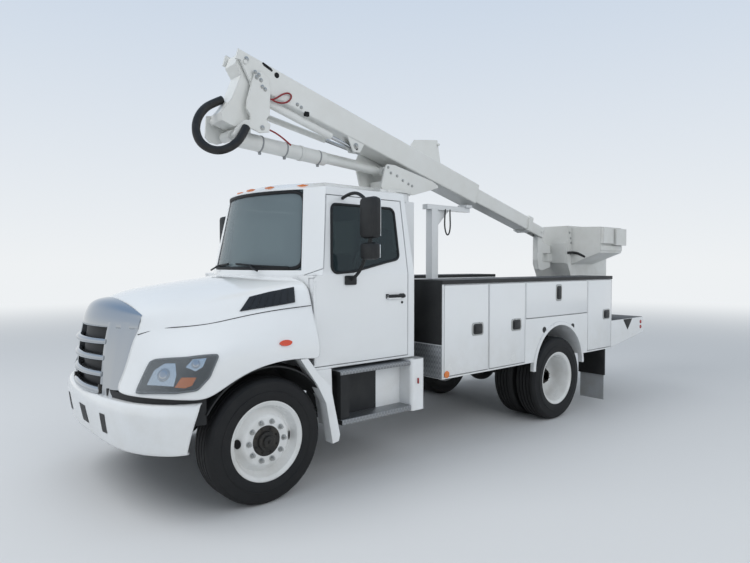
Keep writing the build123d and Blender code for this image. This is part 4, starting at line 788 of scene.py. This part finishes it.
# %% [markdown]
# Tyres are black rubber with ribbed tread and a rounded shoulder; the wheels are white steel discs. Both
# are bodies of revolution, so a profile turned once about the axle gives them, with the grooves of the
# tread and the rolled edge of the rim in the profile itself. Nuts are put on afterwards, and so are the
# front discs' hand holes, which are not cut: black patches there are painted shade.

# %% Tyres
def tyre(mesh, x):
    """One tyre at a place along its axle, with four grooves round its tread."""
    half = [(0.100, 0.290), (0.118, 0.296), (0.130, 0.315), (0.1365, 0.355), (0.1365, 0.375), (0.139, 0.377),
            (0.139, 0.383), (0.1355, 0.385), (0.133, 0.425), (0.128, 0.445), (0.129, 0.452), (0.119, 0.468),
            (0.108, 0.4775), (0.092, 0.4835)]
    for groove in (0.066, 0.022):
        half += [(groove + 0.006, 0.485), (groove + 0.003, 0.473), (groove - 0.003, 0.473),
                 (groove - 0.006, 0.485)]
    profile = half + [(-px, r) for px, r in reversed(half)]
    lathe(mesh, profile + [profile[0]], (x, 0, 0), 96)


def front_wheel(mesh):
    """The front wheel's rim and disc, with its face standing out."""
    lathe(mesh, [(-0.110, 0.292), (-0.118, 0.306), (-0.124, 0.304), (-0.112, 0.280), (-0.06, 0.262),
                 (0.05, 0.262), (0.100, 0.278), (0.108, 0.286), (0.112, 0.300), (0.118, 0.309),
                 (0.127, 0.308), (0.129, 0.300), (0.120, 0.289), (0.112, 0.274), (0.085, 0.262),
                 (0.055, 0.253), (0.045, 0.242), (0.052, 0.225), (0.085, 0.203), (0.101, 0.188),
                 (0.1035, 0.178), (0.1035, 0.096), (0.100, 0.088), (0.085, 0.086), (0.085, 0.01)],
          (0.975, 0, 0))


def nuts(mesh, x, pitch, count, radius, length):
    """A ring of wheel nuts, each a hexagon on a washer with its stud's end."""
    for k in range(count):
        angle = math.tau * (k + 0.5) / count
        y, z = pitch * math.sin(angle), pitch * math.cos(angle)
        rod(mesh, (x, y, z), (x + 0.005, y, z), radius * 1.35, segments=16, bevel=0.001)
        rod(mesh, (x + 0.005, y, z), (x + length, y, z), radius, radius * 0.94, 6, 0.001)
        rod(mesh, (x + length, y, z), (x + length + 0.010, y, z), radius * 0.55, segments=10)


def rear_wheel(mesh):
    """The outer and inner rear wheels, whose discs meet between the tyres."""
    lathe(mesh, [(0.900, 0.262), (0.925, 0.292), (0.918, 0.305), (0.914, 0.300), (0.9, 0.27), (1.10, 0.262),
                 (1.140, 0.278), (1.148, 0.286), (1.152, 0.300), (1.158, 0.309), (1.167, 0.308),
                 (1.169, 0.300), (1.160, 0.289), (1.152, 0.274), (1.120, 0.258), (1.00, 0.250),
                 (0.960, 0.243), (0.925, 0.225), (0.903, 0.195), (0.897, 0.175), (0.897, 0.02)], (0, 0, 0))
    lathe(mesh, [(0.61, 0.290), (0.602, 0.305), (0.612, 0.306), (0.63, 0.272), (0.85, 0.268), (0.88, 0.255),
                 (0.88, 0.15)], (0, 0, 0))


for side, sign in SIDES:
    for axle, place, maker, centres, rim_nodes, tyre_nodes in (
            ("front", 0.0, front_wheel, (0.975,), ("front_rim_" + side,), ("front_tyre_" + side,)),
            ("rear", REAR_AXLE_Y, rear_wheel, (1.04, 0.73), ("rear_rims_" + side,), ("rear_tyres_" + side,))):
        body = axle + "_wheel_" + side
        rubber = bmesh.new()
        for x in centres:
            tyre(rubber, x)
        disc = bmesh.new()
        maker(disc)
        steel = bmesh.new()
        hub = bmesh.new()
        if axle == "front":
            nuts(steel, 1.0785, 0.150, 10, 0.0165, 0.028)
            rod(hub, (1.03, 0, 0), (1.0795, 0, 0), 0.117, segments=48)
            rod(hub, (1.07, 0, 0), (1.105, 0, 0), 0.078, 0.072, 40, 0.005)
            rod(hub, (1.105, 0, 0), (1.130, 0, 0), 0.048, 0.045, 32, 0.005)
            nuts(hub, 1.079, 0.095, 8, 0.007, 0.008)
            rod(hub, (1.130, 0, 0), (1.144, 0, 0), 0.015, 0.013, 6, 0.002)
        else:
            nuts(steel, 0.898, 0.150, 10, 0.0165, 0.028)
            rod(hub, (0.89, 0, 0), (0.985, 0, 0), 0.105, 0.095, 48, 0.005)
            rod(hub, (0.985, 0, 0), (1.010, 0, 0), 0.080, 0.076, 48, 0.004)
            nuts(hub, 1.009, 0.060, 8, 0.008, 0.010)
        # The hand holes are not cut: black patches on the front discs are painted shade of the openings.
        hole_shade_mesh = bmesh.new()
        if axle == "front":
            for angle in (math.radians(88), math.radians(268)):
                turn = Matrix.Rotation(angle, 4, "X")
                around = [math.tau * i / 24 for i in range(24)]
                edge = [(1.0425 - 0.020 * math.sin(t), 0.036 * math.cos(t), 0.2255 + 0.020 * math.sin(t))
                        for t in around]
                hole_shade_mesh.faces.new([hole_shade_mesh.verts.new(turn @ Vector(point)) for point in edge])
        for mesh, name, material, slot, hidden in ((rubber, "tyre", tyre_rubber, "tyre", tyre_nodes),
                                                   (disc, "wheel", wheel_enamel, "wheel_paint", rim_nodes),
                                                   (steel, "nuts", zinc_plate, "rod_steel", ()),
                                                   (hub, "hub", cast_iron, "cast_iron", ()),
                                                   (hole_shade_mesh, "hole_painted_shade", painted_opening_shade, "black_paint", ())):
            if not mesh.verts:
                mesh.free()
                continue
            bmesh.ops.translate(mesh, verts=mesh.verts, vec=(0, place, AXLE_HEIGHT))
            to_side(mesh, sign)
            finish_piece(f"{axle}_{name}_{side}", mesh, material, body, hidden)

# %% [markdown]
# The windows sit in black rubber seals, which show as a dark line round the glass. A seal is an extrusion
# of one section, so a smooth closed curve with a round section, laid on the pane's own surface, is right.

# %% Window seals
def along(corners, step=0.12, corner=0.05):
    """Points round an outline, close together at its corners so that a smooth curve keeps them."""
    points = []
    for here, there in zip(corners, corners[1:] + corners[:1]):
        a, b = Vector(here), Vector(there)
        length = (b - a).length
        direction = (b - a) / length
        count = max(1, int((length - 2 * corner) / step))
        points += [a + direction * (corner + (length - 2 * corner) * k / count) for k in range(count + 1)]
    return points


def seal(name, tree, corners, radius, body, lift):
    """A seal round a pane, found by looking at the pane from the front."""
    points = [(x, from_front(tree, x, z) - lift, z) for x, z in along(corners)]
    return pipe(name, points, radius, seal_rubber_and_crease_shade, body, closed=True)


WINDSCREEN = [(-0.800, 1.795), (0.800, 1.795), (0.680, 2.472), (-0.680, 2.472)]
screen_tree = surface_of(nodes["cab_glass"])
screen_seal = seal("windscreen_seal", screen_tree, WINDSCREEN, 0.017, "truck", 0.004)
print("windscreen seal points:", len(screen_seal.data.splines[0].points))

# %% [markdown]
# A door's window has round corners and a sill that climbs to the rear. The pane is bonded on from
# outside, so its black border hides the door's own sill, and small white fillers round the opening off.
# All of it is drawn upright and then leans in with the cab's side.

# %% Door windows
PANE = [(0.655, 1.755), (0.900, 1.772), (1.270, 1.851), (1.440, 1.883), (1.440, 2.350), (0.725, 2.350)]
OPENING = [(0.655, 1.760), (0.900, 1.760), (1.440, 1.946), (1.440, 2.350), (0.725, 2.350)]
BORDER = [(0.890, 1.772), (1.270, 1.851), (1.440, 1.883), (1.440, 1.955), (1.005, 1.955)]
BELT_Z = 1.74
LEAN = 0.1654


def corner_arc(before, corner, after, radius=0.055, steps=6):
    """Points of the arc that rounds off one corner of an outline in (y, z)."""
    corner = Vector(corner)
    back = (Vector(before) - corner).normalized()
    onward = (Vector(after) - corner).normalized()
    half = back.angle(onward) / 2
    centre = corner + (back + onward).normalized() * (radius / math.sin(half))
    first = corner + back * (radius / math.tan(half)) - centre
    last = corner + onward * (radius / math.tan(half)) - centre
    return [tuple(centre + first.slerp(last, k / steps).normalized() * radius) for k in range(steps + 1)]


def lean_at(z):
    """How far the cab's side leans in at a height: it slopes inwards above the belt line."""
    return LEAN * max(0.0, z - BELT_Z)


pane_outline = []
for k in range(len(PANE)):
    pane_outline += corner_arc(PANE[k - 1], PANE[k], PANE[(k + 1) % len(PANE)])
for side, sign in SIDES:
    body = "cab_door_" + side
    pane = bmesh.new()
    plate(pane, pane_outline, (1.0312, 1.0345), 0.0)
    border = bmesh.new()
    plate(border, BORDER, (1.0290, 1.0309), 0.0)
    fillers = bmesh.new()
    for k in (0, 3, 4):
        arc = corner_arc(OPENING[k - 1], OPENING[k], OPENING[(k + 1) % len(OPENING)])
        plate(fillers, [OPENING[k]] + arc, (1.000, 1.0305), 0.0)
    for mesh, name, material, slot, hidden in (
            (pane, "door_pane_", cab_window, "glass", ("door_glass_" + side,)),
            (border, "door_pane_border_", seal_rubber_and_crease_shade, "black_plastic", ()),
            (fillers, "door_window_fillers_", cab_white, "white_paint", ())):
        for vert in mesh.verts:
            vert.co.x -= lean_at(vert.co.z)
        to_side(mesh, sign)
        finish_piece(name + side, mesh, material, body, hidden)
    route = [(sign * (1.034 - lean_at(z)), y, z) for y, z in pane_outline]
    pipe("door_seal_" + side, route, 0.012, seal_rubber_and_crease_shade, body, closed=True)
print("pane outline:", len(pane_outline), "points")

# %% [markdown]
# Two wipers rest low on the windscreen: a blade that follows the glass, and an arm from the cowl.

# %% Wipers
for side, sign in SIDES:
    blade = [(sign * x, from_front(screen_tree, x * 0.99, z) - 0.022, z)
             for x, z in ((0.08, 1.835), (0.30, 1.822), (0.52, 1.812), (0.70, 1.806))]
    middle_y = blade[1][1]
    arm = [blade[1], (sign * 0.36, middle_y - 0.03, 1.80), (sign * 0.46, middle_y - 0.02, 1.775)]
    pipe("wiper_blade_" + side, blade, 0.009, seal_rubber_and_crease_shade, "truck")
    pipe("wiper_arm_" + side, arm, 0.008, seal_rubber_and_crease_shade, "truck")

# %% [markdown]
# The mirrors are moulded heads on bent tubular arms, a tall one with a small wide-angle head below it. The
# heads get large soft corners, the arms are smooth bent bars, and a thin bright glass faces the driver.

# %% Mirrors and door handles
UPPER_ARM = [(0.925, 0.85, 2.405), (1.02, 0.85, 2.44), (1.17, 0.85, 2.43), (1.25, 0.85, 2.36)]
LOWER_ARM = [(1.04, 0.85, 1.70), (1.12, 0.85, 1.73), (1.20, 0.85, 1.82), (1.23, 0.85, 1.89)]
for side, sign in SIDES:
    body = "cab_door_" + side
    heads = bmesh.new()
    block(heads, (1.205, 0.80, 2.045), (1.395, 0.90, 2.385), 0.035)
    block(heads, (1.21, 0.805, 1.87), (1.39, 0.895, 2.01), 0.03)
    rod(heads, (1.30, 0.85, 1.99), (1.30, 0.85, 2.06), 0.018)
    block(heads, (1.026, 0.79, 1.655), (1.055, 0.91, 1.735), 0.01)
    to_side(heads, sign)
    finish_piece("mirror_heads_" + side, heads, grained_black_and_slot_shade, body, ("mirror_" + side,))
    for number, route in ((1, UPPER_ARM), (2, LOWER_ARM)):
        pipe(f"mirror_arm_{number}_{side}", [(sign * x, y, z) for x, y, z in route], 0.0145, grained_black_and_slot_shade,
             body)
    glass = bmesh.new()
    block(glass, (1.225, 0.895, 2.065), (1.375, 0.904, 2.365), 0.004)
    block(glass, (1.225, 0.890, 1.885), (1.375, 0.899, 1.995), 0.004)
    to_side(glass, sign)
    finish_piece("mirror_glass_" + side, glass, lamp_bright, body)
    handle = bmesh.new()
    block(handle, (1.022, 1.262, 1.520), (1.034, 1.300, 1.562), 0.004)
    block(handle, (1.022, 1.430, 1.520), (1.034, 1.492, 1.562), 0.004)
    block(handle, (1.034, 1.268, 1.524), (1.062, 1.486, 1.556), 0.011)
    rod(handle, (1.026, 1.462, 1.480), (1.036, 1.462, 1.480), 0.012, segments=20, bevel=0.002)
    to_side(handle, sign)
    finish_piece("door_handle_" + side, handle, grained_black_and_slot_shade, body)

# %% [markdown]
# Lamps on the roof are low amber lozenges that follow the roof's bowed front edge, with a beacon behind
# them. On the tail they are round, red, in rubber rings, and amber and red reflectors sit on the sides.

# %% Marker and tail lamps
markers = bmesh.new()
for x in (-0.58, -0.27, 0.0, 0.27, 0.58):
    y = 0.44 + 0.55 * x * x
    block(markers, (x - 0.055, y, 2.485), (x + 0.055, y + 0.085, 2.542), 0.018)
rod(markers, (0, 1.43, 2.52), (0, 1.43, 2.615), 0.085, 0.07, 40, 0.012)
finish_piece("roof_lamps", markers, amber_lens, "truck", ("lamps",))
tail = bmesh.new()
rings = bmesh.new()
for x in (-1.08, -0.96, 0.96, 1.08):
    rod(tail, (x, 6.005, 0.98), (x, 6.028, 0.98), 0.046, 0.042, 40, 0.005)
    rod(rings, (x, 6.005, 0.98), (x, 6.018, 0.98), 0.058, 0.056, 40, 0.004)
for sign in (1, -1):
    for z in (1.025, 0.954):
        rod(tail, (sign * 1.186, 5.931, z), (sign * 1.198, 5.931, z), 0.026, 0.024, 28, 0.003)
    block(tail, (sign * 1.12 - 0.02, 1.575, 0.72), (sign * 1.12 + 0.02, 1.582, 0.772), 0.003)
finish_piece("tail_lamps", tail, red_lens, "truck")
finish_piece("lamp_rings", rings, grained_black_and_slot_shade, "truck")
reflectors = bmesh.new()
for sign in (1, -1):
    rod(reflectors, (sign * 1.186, 1.902, 0.773), (sign * 1.198, 1.902, 0.773), 0.036, 0.034, 28, 0.003)
finish_piece("side_reflectors", reflectors, amber_lens, "truck")

# %% [markdown]
# The service body is folded sheet with steel doors. A door is a shallow tray with rolled edges, so its
# corners are soft and its seam is a thin dark line. Each has a flush latch, a black paddle in a plated dish.

# %% Compartment doors and latches
def rounded(centre, half, corner):
    """A (y, z) rectangle with round corners."""
    points = []
    for turn, (sy, sz) in enumerate(((1, 1), (-1, 1), (-1, -1), (1, -1))):
        for k in range(6):
            angle = math.pi / 2 * (turn + k / 5)
            points.append((centre[0] + sy * (half[0] - corner) + corner * math.cos(angle),
                           centre[1] + sz * (half[1] - corner) + corner * math.sin(angle)))
    return points


SEAM_ROOM = 0.001
DOORS = [("door_1", (1.868, 2.532), (0.752, 1.632), (2.358, 1.18), False),
         ("door_2", (2.552, 3.170), (0.752, 1.632), (3.008, 1.18), False),
         ("door_3", (3.192, 4.478), (1.232, 1.632), (3.835, 1.50), True),
         ("door_4", (4.502, 5.082), (0.752, 1.632), (4.955, 1.186), False)]
for side, sign in SIDES:
    for name, across, up, latch, upright in DOORS:
        body = f"{name}_{side}"
        skin = bmesh.new()
        block(skin, (1.162, across[0] + SEAM_ROOM, up[0] + SEAM_ROOM),
              (1.192, across[1] - SEAM_ROOM, up[1] - SEAM_ROOM), 0.005)
        to_side(skin, sign)
        finish_piece(f"{name}_skin_{side}", skin, white_enamel, body, (body,))
        half = (0.062, 0.098) if upright else (0.090, 0.066)
        dish = bmesh.new()
        plate(dish, rounded(latch, half, 0.030), (1.185, 1.1975), 0.003)
        to_side(dish, sign)
        finish_piece(f"{name}_dish_{side}", dish, zinc_plate, body)
        paddle = bmesh.new()
        plate(paddle, rounded(latch, (half[0] * 0.80, half[1] * 0.80), 0.026), (1.190, 1.1990), 0.002)
        plate(paddle, rounded(latch, (half[0] * 0.56, half[1] * 0.50), 0.014), (1.192, 1.2060), 0.004)
        to_side(paddle, sign)
        finish_piece(f"{name}_paddle_{side}", paddle, paddle_black, body)

# %% [markdown]
# Trim on the body: rolled lips round the rear arches, the black front wall and tread plate behind the cab,
# dark brackets for the mud flaps, plugs over the arch, a dark triangle at the tail, and tread on the steps.

# %% Body trim
lips = bmesh.new()
lathe(lips, [(1.150, 0.490), (1.150, 0.525), (1.196, 0.532), (1.204, 0.528), (1.204, 0.492), (1.150, 0.490)],
      (0, REAR_AXLE_Y, 0.626), 40, math.radians(180), math.radians(90))
both_sides(lips)
finish_piece("arch_lips", lips, white_enamel, "truck")
dark = bmesh.new()
block(dark, (0.72, 1.832, 1.06), (1.184, 1.841, 1.665), 0.003)
plate(dark, [(5.424, 1.085), (5.548, 0.94), (5.678, 1.085)], (1.184, 1.193), 0.002)
block(dark, (0.816, 4.934, 0.385), (1.184, 4.961, 0.732), 0.004)
for y in (3.545, 4.147):
    rod(dark, (1.186, y, 1.083), (1.194, y, 1.083), 0.034, segments=28)
both_sides(dark)
finish_piece("body_dark_trim", dark, grained_black_and_slot_shade, "truck")
treads = bmesh.new()
block(treads, (0.72, 1.833, 0.735), (1.184, 1.841, 1.05), 0.003)
block(treads, (0.60, 0.69, 0.929), (1.106, 1.50, 0.936), 0.002)
block(treads, (0.60, 0.70, 0.519), (1.116, 1.50, 0.526), 0.002)
block(treads, (1.100, 0.69, 0.902), (1.108, 1.50, 0.932), 0.003)
block(treads, (1.110, 0.70, 0.482), (1.118, 1.50, 0.523), 0.003)
both_sides(treads)
finish_piece("tread_plates", treads, tread_plate, "truck")

# %% [markdown]
# The lift is welded steel and glass fibre. Its pins end in keeper bolts, the boom's side has a lifting
# slot and a sight hole, and clamps hold the hoses. The slot and the hole are not cut: black patches on the
# boom are painted shade in them. These small dark marks give the boom its scale.

# %% Pins, bolts, and painted shade of the slots on the boom
def keeper(mesh, x, y, z, radius, out=0.012):
    """A pin's head with its washer, on a plate that faces the driver's side."""
    rod(mesh, (x - 0.002, y, z), (x + out * 0.4, y, z), radius * 1.5, segments=24, bevel=0.001)
    rod(mesh, (x, y, z), (x + out, y, z), radius, radius * 0.92, 6, 0.001)


# The lifting slot, the sight hole and a small block beside them are black patches: painted shade.
boom_opening_shade = bmesh.new()
plate(boom_opening_shade, [(0.515, 3.698), (0.525, 3.710), (0.612, 3.672), (0.628, 3.652), (0.618, 3.640),
                   (0.530, 3.678)],
      (0.139, 0.143), 0.001)
rod(boom_opening_shade, (0.139, 0.671, 3.619), (0.143, 0.671, 3.619), 0.026, segments=28)
block(boom_opening_shade, (0.120, 0.985, 3.29), (0.150, 1.035, 3.335), 0.004)
finish_piece("boom_opening_shade", boom_opening_shade, painted_opening_shade, "boom")
BOLTS = [
    ("boom_bolts", "boom", [(0.140, 0.354, 3.699, 0.016), (0.130, 1.636, 3.084, 0.020, 0.02),
                            (0.140, 0.90, 3.385, 0.012), (0.140, 0.945, 3.365, 0.012)]),
    ("elbow_bolts", "elbow", [(0.170, 0.425, 3.590, 0.013), (0.170, 0.462, 3.572, 0.013),
                              (0.170, 0.440, 3.545, 0.013), (0.170, 0.485, 3.528, 0.013),
                              (0.170, 0.500, 3.470, 0.013), (0.170, 0.528, 3.452, 0.013),
                              (0.170, 0.497, 3.094, 0.016)]),
    ("turret_bolts", "turret", [(0.170, 2.06, 2.90, 0.011), (0.170, 2.10, 2.842, 0.011),
                                (0.170, 2.193, 2.818, 0.011), (0.170, 2.28, 2.775, 0.011),
                                (0.170, 2.37, 2.745, 0.011), (0.170, 2.426, 2.727, 0.011)]),
    ("platform_bolts", "platform", [(0.300, 5.574, 2.218, 0.011, 0.010), (0.300, 5.585, 2.150, 0.011, 0.010),
                                    (0.300, 5.578, 1.985, 0.011, 0.010), (0.300, 5.545, 2.30, 0.011, 0.010)]),
]
for name, body, heads in BOLTS:
    bolts = bmesh.new()
    for head in heads:
        keeper(bolts, *head)
    finish_piece(name, bolts, zinc_plate, body)

# %% [markdown]
# Clamps round the glass-fibre arm hold its hoses: a thin band with a lug below it, three times.

# %% Bands on the arm
bands = bmesh.new()
arm_start, arm_end = Vector((-0.02, 0.25, 3.01)), Vector((-0.02, 2.10, 2.876))
along_arm = (arm_end - arm_start).normalized()
for reach, radius in ((0.325, 0.081), (0.60, 0.0745), (1.00, 0.0745)):
    centre = arm_start + along_arm * reach
    rod(bands, centre - along_arm * 0.008, centre + along_arm * 0.008, radius, segments=48, bevel=0.001)
    block(bands, centre + Vector((-0.012, -0.012, -radius - 0.022)),
          centre + Vector((0.012, 0.012, -radius + 0.004)), 0.003)
finish_piece("arm_bands", bands, grey_enamel, "arm")

# %% [markdown]
# A black hydraulic hose droops from the platform's bracket to its tool outlet, held at both ends.

# %% Platform hose
PLATFORM_HOSE = [(0.292, 5.500, 2.000), (0.315, 5.527, 2.006), (0.356, 5.585, 2.006), (0.415, 5.603, 1.990),
                 (0.475, 5.606, 1.961), (0.520, 5.612, 1.940)]
platform_hose = pipe("platform_hose", PLATFORM_HOSE, 0.019, hose_rubber, "platform")
platform_hose.data.splines[0].resolution_u = 12

# %% [markdown]
# The load floor is rolled in a black non-slip coating, as thick as paint but rough as sandpaper.

# %% Floor coating
coating = bmesh.new()
block(coating, (-0.706, 1.846, 1.088), (0.706, 5.098, 1.093), 0.001)
block(coating, (-1.180, 5.102, 1.088), (1.180, 6.000, 1.093), 0.001)
finish_piece("floor_coating", coating, coated_rail, "truck")

# %% [markdown]
# Two thin red lines are clipped down along the elbow, so they keep their bends.

# %% Red lines at the elbow
RED_LINES = [
    [(0.150, 0.56, 3.372), (0.158, 0.62, 3.37), (0.165, 0.72, 3.45), (0.160, 0.80, 3.475),
     (0.156, 0.83, 3.44), (0.158, 0.78, 3.38), (0.160, 0.69, 3.355), (0.155, 0.60, 3.375),
     (0.145, 0.54, 3.40)],
    [(0.10, 0.52, 3.12), (0.13, 0.60, 3.10), (0.14, 0.72, 3.05), (0.13, 0.83, 2.985)],
]
for number, route in enumerate(RED_LINES, start=1):
    pipe(f"red_hose_{number}", route, 0.008, red_hose, "elbow")

# %% [markdown]
# A bundle of hydraulic hoses in a black sleeve runs in one open loop from the arm to the boom, so that the
# elbow can turn without pulling on it. It hangs under its own weight and never kinks.

# %% Hose loop
HOSE_ROUTE = [(-0.050, 0.205, 3.345), (-0.050, 0.135, 3.308), (-0.040, 0.034, 3.243), (-0.020, -0.046, 3.137),
              (0.020, -0.085, 3.014), (0.080, -0.075, 2.902), (0.150, -0.016, 2.835), (0.200, 0.067, 2.823),
              (0.212, 0.170, 2.873), (0.208, 0.258, 2.957), (0.185, 0.324, 3.073)]
hose = pipe("hose_sleeve", HOSE_ROUTE, 0.038, hose_rubber, "elbow", ("hose_loop",))
hose_line = hose.data.splines[0]
hose_line.resolution_u = 12

# %% [markdown]
# A web strap hangs in a long loop from the boom rest, ready to tie the boom down for the road.

# %% Tie-down strap
STRAP_ROUTE = [(0.042, 3.126, 2.515), (0.042, 3.118, 2.42), (0.044, 3.112, 2.31), (0.046, 3.130, 2.225),
               (0.046, 3.165, 2.190), (0.046, 3.200, 2.225), (0.044, 3.218, 2.31), (0.042, 3.214, 2.42),
               (0.042, 3.211, 2.515)]
strap = pipe("tie_down_strap", STRAP_ROUTE, 0.009, seal_rubber_and_crease_shade, "truck")
strap.data.splines[0].resolution_u = 12

# %% [markdown]
# The studio: a pale floor that runs into a pale backdrop, a world of even soft light, and a large lamp
# high over the front corner, which is where the sky was brightest in the photograph, with a weaker one on
# the driver's side. The backdrop shows to the camera, in reflections and through glass, and a dimmer even
# light falls on everything else.

# %% Floor
def either(tree, *rays):
    """One where any of some kinds of ray arrives, and otherwise zero."""
    path = add_node(tree, "ShaderNodeLightPath")
    result = path.outputs[rays[0]]
    for ray in rays[1:]:
        result = add_node(tree, "ShaderNodeMath", {0: result, 1: path.outputs[ray]},
                          operation="MAXIMUM").outputs[0]
    return result


BACKDROP = linear("#EEF1F3")
floor_mesh = bmesh.new()
bmesh.ops.create_grid(floor_mesh, x_segments=1, y_segments=1, size=60.0)
floor_data = bpy.data.meshes.new("floor")
floor_mesh.to_mesh(floor_data)
floor_mesh.free()
floor = bpy.data.objects.new("floor", floor_data)
bpy.context.scene.collection.objects.link(floor)
floor_finish, floor_tree, floor_shader, floor_place = new_material("floor_paint")
floor_shader.inputs["Base Color"].default_value = linear("#DEDFE0")
floor_shader.inputs["Roughness"].default_value = 0.9
reach = add_node(floor_tree, "ShaderNodeVectorMath", {0: floor_place}, operation="LENGTH").outputs["Value"]
fade = add_node(floor_tree, "ShaderNodeMapRange", {"Value": reach, "From Min": 7.0, "From Max": 26.0},
                interpolation_type="SMOOTHSTEP").outputs["Result"]
glow = add_node(floor_tree, "ShaderNodeEmission", {"Color": BACKDROP, "Strength": 1.0})
seen = either(floor_tree, "Is Camera Ray", "Is Glossy Ray")
fade = add_node(floor_tree, "ShaderNodeMath", {0: fade, 1: seen}, operation="MULTIPLY")
floor_mix = add_node(floor_tree, "ShaderNodeMixShader", {"Fac": fade.outputs[0], 1: floor_shader.outputs[0],
                                                         2: glow.outputs[0]})
floor_tree.links.new(floor_mix.outputs[0], floor_tree.nodes["Material Output"].inputs["Surface"])
floor_data.materials.append(floor_finish)
print("floor:", tuple(round(size, 1) for size in floor.dimensions), "m")

# %% World and lamps
world = bpy.data.worlds.new("world")
world.use_nodes = True
world_tree = world.node_tree
soft_light = world_tree.nodes["Background"]
soft_light.inputs["Color"].default_value = linear("#DCE4EC")
soft_light.inputs["Strength"].default_value = 0.72
direction = add_node(world_tree, "ShaderNodeTexCoord").outputs["Generated"]
upward = add_node(world_tree, "ShaderNodeSeparateXYZ", {"Vector": direction}).outputs["Z"]
ramp = add_node(world_tree, "ShaderNodeValToRGB", {"Fac": upward})
ramp.color_ramp.elements[0].position = 0.0
ramp.color_ramp.elements[0].color = BACKDROP
ramp.color_ramp.elements[1].position = 0.75
ramp.color_ramp.elements[1].color = linear("#A9C0DC")
pale = add_node(world_tree, "ShaderNodeBackground", {"Color": ramp.outputs["Color"], "Strength": 1.0})
seen = either(world_tree, "Is Camera Ray", "Is Glossy Ray", "Is Transmission Ray")
both = add_node(world_tree, "ShaderNodeMixShader", {"Fac": seen, 1: soft_light.outputs[0],
                                                    2: pale.outputs[0]})
world_tree.links.new(both.outputs[0], world_tree.nodes["World Output"].inputs["Surface"])
bpy.context.scene.world = world


def lamp(name, place, target, size, power):
    """A square soft lamp that faces a point."""
    data = bpy.data.lights.new(name, "AREA")
    data.size = size
    data.energy = power
    thing = bpy.data.objects.new(name, data)
    thing.location = place
    aim = Vector(target) - Vector(place)
    thing.rotation_euler = aim.to_track_quat("-Z", "Y").to_euler()
    thing.visible_glossy = False
    bpy.context.scene.collection.objects.link(thing)
    print(name, round(aim.length, 1), "m away")


lamp("key_lamp", (-3.0, -9.0, 11.0), (0, -0.5, 1.2), 8.0, 620.0)
lamp("fill_lamp", (10.0, -1.0, 6.0), (0, 0, 1.5), 8.0, 260.0)
bpy.context.scene.view_settings.view_transform = "Standard"
